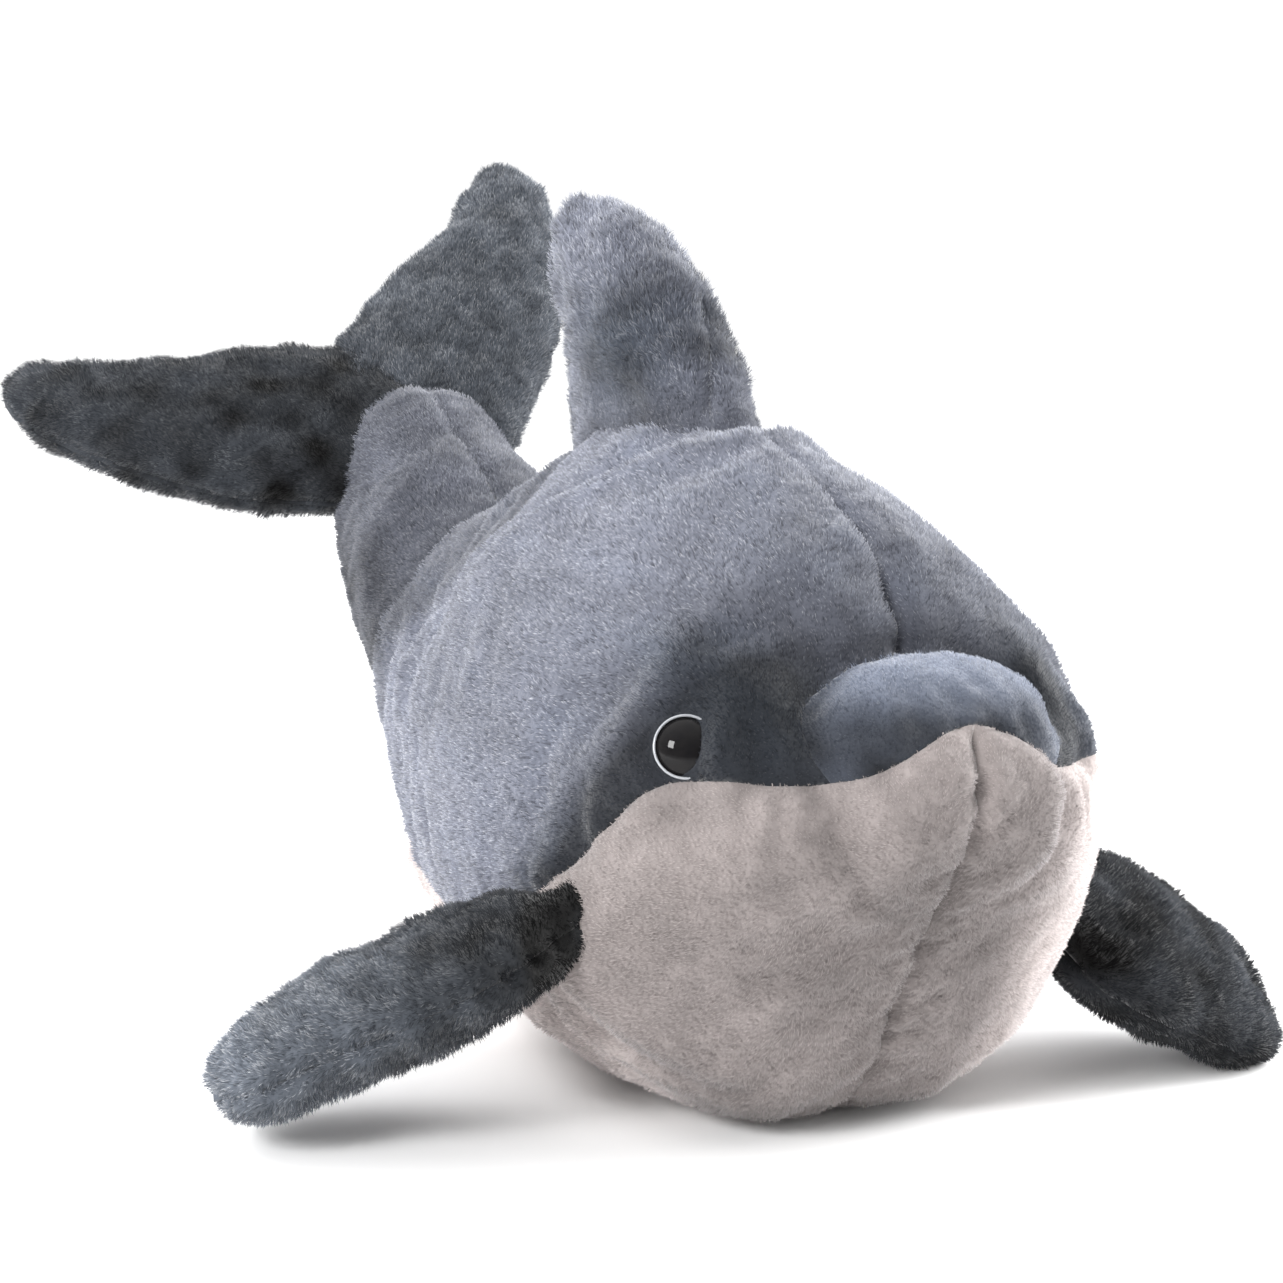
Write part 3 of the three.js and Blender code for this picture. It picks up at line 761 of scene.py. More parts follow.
def grow_pile(panel, slot, sort, nap, seed, short, tint_and_shade):
    """A pile of fur on a panel: tufts that lie along the nap, each a narrow tapered leaf."""
    sizes, colours = bpy.context.scene.plush_sizes, bpy.context.scene.plush_colours
    fur = FURS[sort]
    rng = np.random.default_rng(seed)
    mesh = panel.data
    points, normals = coordinates(mesh), vertex_normals(mesh)
    corners = triangles(mesh)
    a, b, c = (points[corners[:, k]] for k in range(3))
    areas = np.linalg.norm(np.cross(b - a, c - a), axis=1) / 2
    count = int(min(areas.sum() * sizes.density * fur["tufts"], MOST_TUFTS))
    chosen = rng.choice(len(corners), count, p=areas / areas.sum())
    u, v = rng.random(count), rng.random(count)
    fold = u + v > 1
    u[fold], v[fold] = 1 - u[fold], 1 - v[fold]
    weights = np.stack([1 - u - v, u, v], 1)
    at = np.einsum("nk,nkd->nd", weights, points[corners[chosen]])
    normal = unit(np.einsum("nk,nkd->nd", weights, normals[corners[chosen]]))
    clump, drift = clumps(at, LOCKS, seed), clumps(at, DRIFTS, seed + 5)
    tangle = clumps(at, TANGLES, seed + 9)
    loose = rng.normal(size=(count, 3)) * 0.2
    way = nap(at, normal) + (tangle * 0.22 + clump * 0.2 + drift * 0.14 + loose) * fur["ruffle"]
    way = along_skin(way, normal)
    size = sizes.pile * fur["length"] * rng.uniform(0.65, 1.15, count) * short(at)
    lift = rng.normal(size=count) * 8 + tangle[:, 0] * 9 + clump[:, 0] * 6
    angle = np.radians(fur["lie"] + lift * fur["ruffle"])
    spin = rng.uniform(-0.8, 0.8, count)[:, None]
    side = unit(np.cross(normal, way)) * np.cos(spin) + normal * np.sin(spin)
    flat, up = (np.cos(angle) * size)[:, None], (np.sin(angle) * size)[:, None]
    half = (sizes.blade * fur["width"] * rng.uniform(0.7, 1.2, count))[:, None] / 2
    root = at - normal * TUFT_ROOT_DEPTH
    middle = at + way * flat * 0.5 + normal * up * 0.62
    tip = at + way * flat + normal * up * 0.92
    low, high = [root - side * half, root + side * half], [middle + side * half * 0.8, middle - side * half * 0.8]
    verts = np.stack([*low, *high, tip], 1)
    verts[:, :, 2] = np.maximum(verts[:, :, 2], FLOOR_CLEARANCE)
    facing = np.cross(verts[:, 1] - verts[:, 0], tip - root)
    turned = np.sum(facing * normal, 1) < 0
    faces = (np.arange(count) * TUFT_CORNERS)[:, None, None] + TUFT_FACES
    faces[turned] = faces[turned][:, :, ::-1]
    faces = faces.reshape(-1).astype(np.int32)
    name = panel.name.replace("_panel", "") + "_fur"
    made = bpy.data.meshes.new(name)
    made.vertices.add(count * TUFT_CORNERS)
    made.vertices.foreach_set("co", verts.astype(np.float32).ravel())
    made.loops.add(len(faces))
    made.loops.foreach_set("vertex_index", faces)
    made.polygons.add(count * len(TUFT_FACES))
    made.polygons.foreach_set("loop_start", np.arange(0, count * TUFT_FACES.size, 3, dtype=np.int32))
    made.update(calc_edges=True)
    facing = unit(facing) * np.where(turned, -1, 1)[:, None]
    soft = unit(normal + facing * 0.35 + way * 0.1)
    store(made, "custom_normal", np.repeat(soft, TUFT_CORNERS, 0), "FLOAT_VECTOR")
    store(made, "tip", np.tile([0, 0, 0.55, 0.55, 1], count))
    streak = waves(at * STREAK, 0.0011, seed + 15, 30) * 0.8 + clump[:, 1] * fur["mottle"]
    store(made, "shade", np.repeat(np.clip(rng.normal(size=count) * 0.5 + streak, -1, 1), TUFT_CORNERS))
    store(made, "place", np.repeat(at, TUFT_CORNERS, 0), "FLOAT_VECTOR")
    # The teal patch, and the tone, which carries painted shade and painted light.
    for key, values in zip(("patch", "tone"), tint_and_shade(at)):
        store(made, key, np.repeat(values, TUFT_CORNERS))
    lay_tufts_on_map(made, at, faces)
    colour = getattr(colours, slot)
    made.materials.append(pile_finish(sort + "_pile", colour, colours.patch, fur["glint"], fur["sheen"]))
    piece = bpy.data.objects.new(name, made)
    bpy.context.scene.collection.objects.link(piece)
    return piece


def lay_tufts_on_map(mesh, at, faces):
    """A map on which each tuft has a cell, beside its neighbours, with roots next to roots and tips to tips."""
    across = math.ceil(math.sqrt(len(at)))
    row = np.empty(len(at), int)
    row[np.argsort(at[:, 1], kind="stable")] = np.arange(len(at)) // across
    order = np.lexsort((at[:, 2] + at[:, 0], row))
    column = np.empty(len(at), int)
    column[order] = np.arange(len(at)) - row[order] * across
    u = column[:, None] + np.array([0.2, 0.8, 0.75, 0.25, 0.5])
    along = np.array([0.1, 0.1, 0.55, 0.55, 0.9])
    v = row[:, None] + np.where(row[:, None] % 2, 1 - along, along)
    places = np.stack([u.ravel(), v.ravel()], 1) / across
    layer = mesh.uv_layers.new(name="OFBake")
    layer.uv.foreach_set("vector", places[faces].astype(np.float32).ravel())


def dress_panel(panel, node, slot, nap, seed, thickness, short, tint_and_shade, sort=None):
    """The fur, thickness and finish of one panel, which stands for its node. Returns its two pieces."""
    colours = bpy.context.scene.plush_colours
    panel.name = node + "_panel"
    fur = grow_pile(panel, slot, sort or slot, nap, seed, short, tint_and_shade)
    mesh = panel.data
    points = coordinates(mesh)
    store(mesh, "place", points, "FLOAT_VECTOR")
    # The teal patch, and the tone, which carries painted shade and painted light.
    for key, values in zip(("patch", "tone"), tint_and_shade(points)):
        store(mesh, key, values)
    mesh.materials.clear()
    mesh.materials.append(backing_finish(slot + "_backing", getattr(colours, slot), colours.patch))
    mesh.shade_smooth()
    thicken(panel, thickness)
    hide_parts(node)
    return panel, fur


def thicken(panel, thickness):
    solid = panel.modifiers.new("thickness", "SOLIDIFY")
    solid.thickness = thickness
    solid.offset = -1
    mesh = modified(panel)
    panel.modifiers.clear()
    panel.data = mesh


# The nap lies away from the snout, towards the tail.
def nap_back(at, normal):
    return along_skin(np.tile([0.0, 1.0, 0.12], (len(at), 1)), normal)


TORSO_PANELS = ["belly_left", "belly_right", "back_left", "back_right", "beak_top"]

# Seams, dimples and swells of the torso: the width and the depth of each, or the height of a swell.
BACK_SEAM = (0.0024, 0.0018)
FOREHEAD_PINCH = (0.0055, 0.0020)
BELLY_SEAM = (0.0026, 0.0021)
BELLY_HOLLOW = (0.010, 0.0007)
SIDE_SEAM = (0.0022, 0.0011)
SIDE_PUCKER = (0.012, 0.0006)
MIDDLE_PUCKER = (0.013, 0.0006)
BEAK_CREASE = (0.0035, 0.0034)
NECK_VALLEY = (0.007, 0.0022)
NECK_CREST = (0.0055, 0.0015)
NECK_LESSER_CREST = (0.006, 0.0006)
EYE_DIMPLE = (0.0125, 0.0022)
CHIN_SWELL = (0.016, 0.0026)
CHEEK_SWELL = (0.030, 0.0024)
ROOT_SWELL = (0.019, 0.0058)
CHIN_SWELL_AT = [0.0165, -0.2235, 0.092]
CHEEK_SWELL_AT = [0.069, -0.188, 0.084]
ROOT_SWELL_FROM_HINGE = [0.0, -0.006, -0.004]
# How far the flank is drawn in at the rear, at the rim under the tail and low down, and how much lower the back lies
# behind the neck on its right side and on its left.
REAR_INSET = 0.0050
REAR_TUCK = 0.0032
LOW_INSET = 0.0034
BACK_LOWER_RIGHT, BACK_LOWER_LEFT = 0.0044, -0.0014

# Creases and ridges of the torso, each as points (distance from the middle, along, height) of the body's own frame,
# in metres. First the face: the jaw and two short folds under the corner of the mouth.
JAW = [
    [0.0367, -0.2141, 0.103],
    [0.0343, -0.2162, 0.0935],
    [0.0301, -0.2179, 0.0854],
    [0.0228, -0.2171, 0.0752],
    [0.0103, -0.2143, 0.0661],
    [0.0013, -0.2129, 0.0636],
]
CHEEK_FOLD = [[0.0508, -0.2032, 0.1023], [0.0515, -0.2039, 0.0983], [0.052, -0.2036, 0.0858]]
MOUTH_FOLD = [[0.0459, -0.2068, 0.1016], [0.0463, -0.2083, 0.0953], [0.0464, -0.2082, 0.0866]]
# The chest bulges over a fold that runs from the root of the flipper down under the belly.
CHEST_EDGE = [
    [0.0755, -0.153, 0.066],
    [0.074, -0.1546, 0.0602],
    [0.0704, -0.1643, 0.0454],
    [0.0617, -0.1754, 0.032],
    [0.0529, -0.1815, 0.025],
    [0.0402, -0.1857, 0.0195],
    [0.0259, -0.1834, 0.0114],
]
CHEST_FOLD = [
    [0.0765, -0.139, 0.066],
    [0.073, -0.1415, 0.052],
    [0.071, -0.148, 0.044],
    [0.067, -0.16, 0.0355],
    [0.06, -0.171, 0.028],
    [0.051, -0.1795, 0.0215],
    [0.038, -0.1835, 0.0158],
]
UNDER_RIDGE = [
    [0.0693, -0.1284, 0.0342],
    [0.0647, -0.1531, 0.0277],
    [0.0586, -0.1672, 0.0236],
    [0.0361, -0.1815, 0.0121],
]
LOW_RIDGE = [
    [0.0643, -0.1136, 0.0234],
    [0.0603, -0.1201, 0.0193],
    [0.0577, -0.1412, 0.0175],
    [0.0533, -0.1588, 0.0146],
]
# Ridges of the flank from the middle of the body to its rear, and the crease where the tail looks to begin.
FRONT_RIDGE = [
    [0.0632, -0.0831, 0.1235],
    [0.0688, -0.0893, 0.1144],
    [0.0732, -0.0949, 0.1016],
    [0.0762, -0.0993, 0.0887],
]
MIDDLE_RIDGE = [
    [0.0631, -0.0539, 0.1105],
    [0.0675, -0.0577, 0.0987],
    [0.0687, -0.0552, 0.0834],
    [0.068, -0.0549, 0.0573],
]
RIM_RIDGE = [
    [0.0416, -0.0539, 0.1475],
    [0.0462, -0.0465, 0.1385],
    [0.0562, -0.0449, 0.1206],
    [0.0611, -0.0318, 0.0982],
    [0.0622, -0.0287, 0.0823],
    [0.0602, -0.0261, 0.0504],
]
RIM_FOLD = [
    [0.0395, -0.038, 0.146],
    [0.05, -0.034, 0.128],
    [0.057, -0.021, 0.105],
    [0.059, -0.016, 0.08],
    [0.057, -0.012, 0.055],
]
REAR_RIDGE = [
    [0.05, -0.0312, 0.1251],
    [0.0496, -0.0071, 0.1109],
    [0.0525, 0.0045, 0.0953],
    [0.053, 0.0072, 0.0797],
]
TAIL_CREASE = [
    [0.0439, -0.0461, 0.1414],
    [0.0467, -0.0417, 0.136],
    [0.0485, -0.0164, 0.1187],
    [0.0489, 0.0111, 0.102],
    [0.0468, 0.0331, 0.0914],
]
# Each path with its depth, its width, the shares of the depth at its start and at its end, and how proud its sides
# stand.
CREASES = [
    (JAW, 0.0027, 0.0042, 0.1, 0.25, 0.35),
    (CHEEK_FOLD, 0.0019, 0.0026, 0.1, 0.5, 0.35),
    (MOUTH_FOLD, 0.0021, 0.0026, 0.1, 0.5, 0.35),
    (CHEST_EDGE, -0.0030, 0.0085, 0.6, 0.4, 0),
    (CHEST_FOLD, 0.0046, 0.0060, 0.1, 0.3, 0),
    (UNDER_RIDGE, -0.0020, 0.0032, 0.1, 0.5, 0.5),
    (LOW_RIDGE, -0.0018, 0.0030, 0.1, 0.5, 0.5),
    (FRONT_RIDGE, -0.0011, 0.0050, 0.1, 0.6, 0.4),
    (MIDDLE_RIDGE, -0.0016, 0.0045, 0.1, 0.8, 0.5),
    (RIM_RIDGE, -0.0021, 0.0055, 0.1, 0.6, 0),
    (RIM_FOLD, 0.0038, 0.0065, 0.1, 0.5, 0),
    (REAR_RIDGE, -0.0015, 0.0042, 0.1, 0.5, 0.4),
    (TAIL_CREASE, 0.0036, 0.0048, 0.1, 0.5, 0.25),
]


def press_seams(points, beak):
    """How deep the stitched seams of the torso and the crease round its beak lie."""
    x, y, z = points.T
    above = z > seam_height(points)
    side = np.abs(z - seam_height(points))
    on_beak = above & (beak > 0)
    pucker = 1 + 0.35 * waves(points, 0.012, 3)
    forehead = groove(x, BACK_SEAM) + groove(x, FOREHEAD_PINCH) * hump(y + 0.190, 0.016)
    depth = np.where(above & ~on_beak, forehead, 0)
    depth += np.where(~above, groove(x, BELLY_SEAM) + groove(x, BELLY_HOLLOW), 0)
    depth *= pucker
    depth += groove(side, SIDE_SEAM) * pucker
    depth += groove(side, SIDE_PUCKER) * waves(points, 0.010, 8)
    depth += groove(x, MIDDLE_PUCKER) * waves(points, 0.008, 9) * np.where(above, 0.6, 1.0)
    depth += np.where(above, groove(beak, BEAK_CREASE) * ease(z, 0.107, 0.123), 0)
    return depth


def torso_folds(points, beak):
    """How deep the seams, folds and dimples of the torso lie under its plain form."""
    x, y, z = points.T
    mirrored = np.stack([np.abs(x), y, z], 1)
    depth = press_seams(points, beak)
    for path, deep, wide, start, end, proud in CREASES:
        away, along = distance_to_path(mirrored, path)
        profile = hump(away, wide) - proud * hump(away - wide * 2.2, wide * 1.2)
        share = (start + (1 - start) * ease(along, 0, 0.2)) * (1 - (1 - end) * along)
        depth += deep * profile * share * (1 + 0.3 * waves(points, 0.03, 23))
    depth -= groove(np.linalg.norm(mirrored - CHIN_SWELL_AT, axis=1), CHIN_SWELL)
    # Fold of the neck, just before the dorsal fin: a crest, then a valley and a lesser crest.
    line = y + 0.118 - 18 * x**2
    neck = groove(line - 0.013, NECK_VALLEY) - groove(line, NECK_CREST) - groove(line - 0.027, NECK_LESSER_CREST)
    depth += neck * ease(z, 0.115, 0.155) * (1 + 0.3 * waves(points, 0.02, 22))
    lower = np.where(x < 0, BACK_LOWER_RIGHT, BACK_LOWER_LEFT)
    depth += lower * ease(z, 0.130, 0.152) * hump(np.abs(x) - 0.030, 0.018) * hump(y + 0.055, 0.036)
    depth += 0.0006 * waves(points, 0.050, 31) + 0.0003 * waves(points, 0.018, 32)
    depth += REAR_INSET * ease(y, -0.075, -0.015) * ease(np.abs(x), 0.02, 0.045) * ease(z, 0.02, 0.05)
    depth += LOW_INSET * ease(y, -0.10, -0.05) * ease(np.abs(x), 0.03, 0.05) * hump(z - 0.030, 0.018)
    depth -= groove(np.linalg.norm(points - CHEEK_SWELL_AT, axis=1), CHEEK_SWELL)
    # The body swells round the root of each flipper.
    for hand in ("left", "right"):
        root = np.array(joints[hand + "_flipper_flap"]["pos_m"]) - SHIFT + ROOT_SWELL_FROM_HINGE
        depth -= groove(np.linalg.norm(points - root, axis=1), ROOT_SWELL)
    # A dimple round each eye, and an upright swell of fur before it.
    for sign in (1, -1):
        place = eye_place(sign)[0]
        depth += groove(np.linalg.norm(points - place, axis=1), EYE_DIMPLE)
        away = points - place - np.array([-sign * 0.0056, -0.0063, 0.001])
        ahead = away @ np.array([-sign * 0.667, -0.745, 0.0]) + away[:, 2] * 0.22
        upright = np.exp(-((ahead / 0.0058) ** 2) - (away[:, 2] / 0.0105) ** 2)
        depth -= upright * hump(away @ np.array([-sign * 0.745, 0.667, 0.0]), 0.02) * 0.0046
    return depth


# Where stitching holds the cloth of the torso: along its seams, round its eyes and at its open end.
def torso_seams(points):
    x = points[:, 0]
    side = np.abs(points[:, 2] - seam_height(points))
    held = np.maximum(hump(side, 0.004), hump(x, 0.004))
    for sign in (1, -1):
        held = np.maximum(held, hump(np.linalg.norm(points - eye_place(sign)[0], axis=1), 0.008))
    hinge, along = crease_plane()
    return np.clip(np.maximum(held, ease((points - hinge) @ along, -0.02, -0.008)), 0, 1)


def eye_place(sign):
    angle = EYE_ANGLE if sign > 0 else 180 - EYE_ANGLE
    point, normal = BODY.point(EYE_SHARE, angle), BODY.normal(EYE_SHARE, angle)
    if normal[0] * sign < 0:
        normal = -normal
    return point, normal


def patch_at(x, y, z, middle, size):
    """1 at the middle of a patch, falling off over its size along each axis."""
    offsets = [((value - centre) / reach) ** 2 for value, centre, reach in zip((x, y, z), middle, size)]
    return np.exp(-(offsets[0] + offsets[1] + offsets[2]))


# How far the fur turns teal, and how light it is. Darker and teal before the eyes, along the seam of the cheek and
# under
# the brow, where the nap is turned: partly the fur's own teal, partly painted shade. Darker towards the snout and
# past the crease where the tail looks to begin, as painted shade, and paler on the flanks and low down, as painted
# light, with less of the darkening on the far side, which the rim light reaches.
def back_tint_and_shade(at):
    local = at - SHIFT
    x, y, z = np.abs(local[:, 0]), local[:, 1], local[:, 2]
    drift = waves(local, 0.02, 77) * 0.1
    front = 1 - ease(y, -0.185, -0.125)
    away, _ = distance_to_path(np.stack([x, y, z], 1), TAIL_CREASE)
    behind = ease(y - np.interp(z, [0.091, 0.141], [0.033, -0.046]), -0.004, 0.012)
    # Painted shade past the crease where the tail looks to begin.
    crease_shade = 0.22 * behind * hump(away, 0.022) + 0.30 * behind
    before_eye = patch_at(x, y, z, (0.048, -0.191, 0.116), (0.017, 0.021, 0.017))
    over_eye = patch_at(x, y, z, (0.053, -0.178, 0.126), (0.014, 0.014, 0.013))
    spot = np.maximum(before_eye, 0.6 * over_eye)
    seam = hump(z - seam_height(local), 0.018) * (1 - ease(y, -0.155, -0.115))
    brow = hump(y + 0.197, 0.020) * ease(z, 0.10, 0.13)
    # Painted light: less darkening and less teal on the far side, which the rim light reaches.
    near = 1 - 0.8 * ease(local[:, 0], 0.035, 0.060)
    painted_shade = 0.20 * front + 0.55 * spot + 0.80 * seam + 0.20 * brow
    # The tone: painted light low down on the flank, painted shade where it is darkened, and a little random drift.
    tone = 0.82 + 0.3 * (1 - ease(z, 0.06, 0.10)) - 0.12 * ease(x, 0.045, 0.065) - painted_shade * near - crease_shade + drift * 0.5
    return np.clip(spot * near + seam * 0.4 + drift, 0, 1) * 0.8, np.clip(tone, 0.1, 1)


# Painted light and painted shade on the belly: it is palest on the side that the light comes from, under the flipper
# and round the mouth, a little paler low down, and darker down its middle.
def belly_painted_shading(at):
    local = at - SHIFT
    x, y, z = local.T
    middle = hump(x + 0.005, 0.032)
    low = 1 - ease(z, 0.03, 0.06)
    tone = 0.38 - 0.06 * middle + 0.06 * low + 0.22 * hump(z - 0.115, 0.02) * middle + waves(local, 0.03, 78) * 0.03
    tone += 0.62 * ease(x, 0.02, 0.055) + 0.62 * ease(y, -0.178, -0.155) * (1 - ease(z, 0.05, 0.07))
    return np.zeros(len(at)), np.clip(tone, 0, 1)


# Painted light on the beak: paler along its top and on the far side, which the rim light reaches, and darker low on
# its near side.
def beak_painted_shading(at):
    local = at - SHIFT
    top = ease(local[:, 2], 0.116, 0.131)
    tone = 0.16 + 0.84 * top + 0.5 * ease(local[:, 0], 0.015, 0.035) + waves(local, 0.016, 79) * 0.05
    return np.zeros(len(at)), np.clip(tone, 0, 1)


# The tail stock's tone: low, with painted shade that darkens it towards its underside.
def tail_tone_and_shade(at):
    tone = 0.22 + 0.24 * ease(at[:, 2], 0.10, 0.15) + waves(at, 0.025, 80) * 0.06
    return np.zeros(len(at)), np.clip(tone, 0, 1)


def pale_tint(at):
    return np.zeros(len(at)), np.clip(0.9 + waves(at, 0.025, 80) * 0.06, 0, 1)


def crease_plane():
    lean = math.radians(CREASE_LEAN)
    return HINGE, np.array([0, math.cos(lean), math.sin(lean)])


class PLUSH_OT_torso(bpy.types.Operator):
    """Sew the belly, back and beak panels of the torso and grow their fur"""

    bl_idname = "plush.torso"
    bl_label = "Torso"

    def execute(self, context):
        sizes = context.scene.plush_sizes
        forms = [BODY.mesh(160, 150), BEAK.mesh(100, 70)]
        mesh = voxel_skin("torso", forms, sizes.voxel)
        outward(mesh)
        move_to(mesh, smoothed(coordinates(mesh), edges_of(mesh), 6))
        cut_along(mesh, lambda points: points[:, 0])
        cut_along(mesh, lambda points: points[:, 2] - seam_height(points))
        cut_along(mesh, beak_over_body)
        points = coordinates(mesh)
        beak = beak_over_body(points)
        centres = face_centres(mesh)
        above = centres[:, 2] > seam_height(centres)
        which = np.where(above, 2, 0) + np.where(centres[:, 0] > 0, 0, 1)
        which[above & (beak_over_body(centres) > 0)] = 4
        mark = mesh.attributes.new("panel", "INT", "FACE")
        mark.data.foreach_set("value", which.astype(np.int32))
        moves = stuffed("torso", forms, torso_seams, points)
        points = points + moves + vertex_normals(mesh) * (0.0006 - torso_folds(points, beak))[:, None]
        move_to(mesh, points)
        # The end past the tail's crease is cut off, and its edge is rolled in.
        hinge, along = crease_plane()
        with edited(mesh) as made:
            geometry = made.verts[:] + made.edges[:] + made.faces[:]
            bmesh.ops.bisect_plane(made, geom=geometry, plane_co=hinge, plane_no=along, clear_outer=True)
        points = coordinates(mesh)
        before = -(points - hinge) @ along
        roll = np.clip(1 - before / sizes.roll, 0, 1)
        inward = (points - hinge) - ((points - hinge) @ along)[:, None] * along
        tuck = np.clip(1 + ((points - hinge) @ along) / (sizes.roll * 3), 0, 1)
        tuck = REAR_TUCK * tuck**2 * unit(inward)[:, 2] ** 2
        points = points - unit(inward) * (tuck + sizes.roll * 0.55 * (1 - np.sqrt(1 - roll**2)))[:, None]
        points[:, 2] = np.maximum(points[:, 2], -SHIFT[2] + 0.0002)
        move_to(mesh, points + SHIFT)
        which = np.zeros(len(mesh.polygons), np.int32)
        mesh.attributes["panel"].data.foreach_get("value", which)
        panels = cut_panels(mesh, TORSO_PANELS, which)
        tints_and_shades = {"back": back_tint_and_shade, "belly": belly_painted_shading, "beak": beak_painted_shading}
        for index, name in enumerate(TORSO_PANELS):
            slot = name.split("_")[0]
            dress = (slot, nap_back, 100 + index, FABRIC * 0.9, torso_short, tints_and_shades[slot])
            for piece in dress_panel(panels[name], name, *dress):
                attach(piece, "torso")
        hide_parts("torso_stuffing")
        return {"FINISHED"}


def even_fur(at):
    return np.ones(len(at))


# Fur is shorter along the seams, behind the eyes and where the belly lies on the floor.
def torso_short(at):
    local = at - SHIFT
    side = np.abs(local[:, 2] - seam_height(local))
    short = 1 - 0.35 * hump(local[:, 0], 0.003) - 0.25 * hump(side, 0.002)
    short *= 1 - 0.35 * hump(side, 0.02) * (1 - ease(local[:, 1], -0.18, -0.13))
    for sign in (1, -1):
        away = np.linalg.norm(local - eye_place(sign)[0], axis=1)
        behind = ease(local[:, 1] - eye_place(sign)[0][1], -0.006, 0.0)
        short *= 1 - (1 - ease(away, EYE_RADIUS * 0.8, EYE_RADIUS * 1.4)) * 0.7 * behind
    return short * (0.35 + 0.65 * ease(at[:, 2], 0.001, 0.006))


class PLUSH_OT_tail(bpy.types.Operator):
    """Sew the tail stock, which turns in the crease behind the torso, and grow its fur"""

    bl_idname = "plush.tail"
    bl_label = "Tail stock"

    def execute(self, context):
        hinge, back = crease_plane()
        ball_rows = [-0.9, -0.7, -0.45, -0.2]
        ball = Form(
            [hinge + back * s * STOCK_RADIUS for s in ball_rows] + [hinge + back * 0.06 * STOCK_RADIUS],
            [[math.sqrt(1 - s * s) * STOCK_RADIUS] * 3 for s in ball_rows] + [[STOCK_RADIUS * 0.985] * 3],
            [[CREASE_LEAN]] * 5,
        )
        step = context.scene.plush_sizes.voxel * 0.9
        mesh = voxel_skin("tail", [ball.mesh(90, 30), STOCK.mesh(100, 90)], step)
        outward(mesh)
        points = smoothed(coordinates(mesh), edges_of(mesh), 4)
        move_to(mesh, points)
        x, z = points[:, 0], points[:, 2]
        side = np.abs(z - seam_height(points)) * 0.7
        above = z > seam_height(points)
        depth = np.where(above, hump(x, 0.0028) * 0.0016, 0) + hump(side, 0.0026) * 0.0012
        depth += 0.0006 * waves(points, 0.03, 41) + 0.0003 * waves(points, 0.012, 42)
        points = points + vertex_normals(mesh) * (0.0005 - depth)[:, None]
        along = points[:, 1] - HINGE[1]
        middle = ease(along, 0.008, 0.045) * (1 - 0.5 * ease(along, 0.070, 0.100))
        points[:, 0] += STOCK_SLIM * middle * ease(-x, 0, 0.02)
        points[:, 2] -= STOCK_SAG * middle * ease(z - seam_height(points), 0, 0.03)
        move_to(mesh, points + SHIFT)
        centres = face_centres(mesh) - SHIFT
        above = centres[:, 2] > seam_height(centres)
        which = np.where(above, np.where(centres[:, 0] > 0, 0, 1), 2)
        names = ["tail_left", "tail_right", "tail_under"]
        panels = cut_panels(mesh, names, which)
        for index, name in enumerate(names):
            slot = "belly" if name == "tail_under" else "back"
            tint_and_shade = pale_tint if slot == "belly" else tail_tone_and_shade
            for piece in dress_panel(panels[name], name, slot, nap_back, 200 + index, FABRIC * 0.9, even_fur, tint_and_shade):
                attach(piece, "tail")
        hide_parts("tail_stuffing")
        return {"FINISHED"}


def turn(axis, degrees):
    return np.array(Matrix.Rotation(math.radians(degrees), 4, axis))


def shift_by(point):
    return np.array(Matrix.Translation(Vector(point)))


def mirror():
    return np.diag([-1.0, 1.0, 1.0, 1.0])


# The tone of a fin, from its root to its tip: painted shade, darker at the root and set for each fin as the light
# falls on it.
def rising(size, tones):
    return lambda local: (np.zeros(len(local)), np.interp(local[:, 1], [0.01, size["length"] * 0.9], tones))


# The dorsal fin: paler at its back and towards its tip, teal low on its side.
def dorsal_tones(local):
    low = np.exp(-(((local[:, 0] + 0.004) / 0.022) ** 2) - ((local[:, 1] - 0.016) / 0.016) ** 2)
    tone = 0.46 + 0.26 * ease(local[:, 0], -0.01, 0.035) + 0.16 * ease(local[:, 1], 0.02, 0.05) - 0.28 * low
    return low * 0.7, tone


def level_seam(points):
    return np.zeros(len(points))


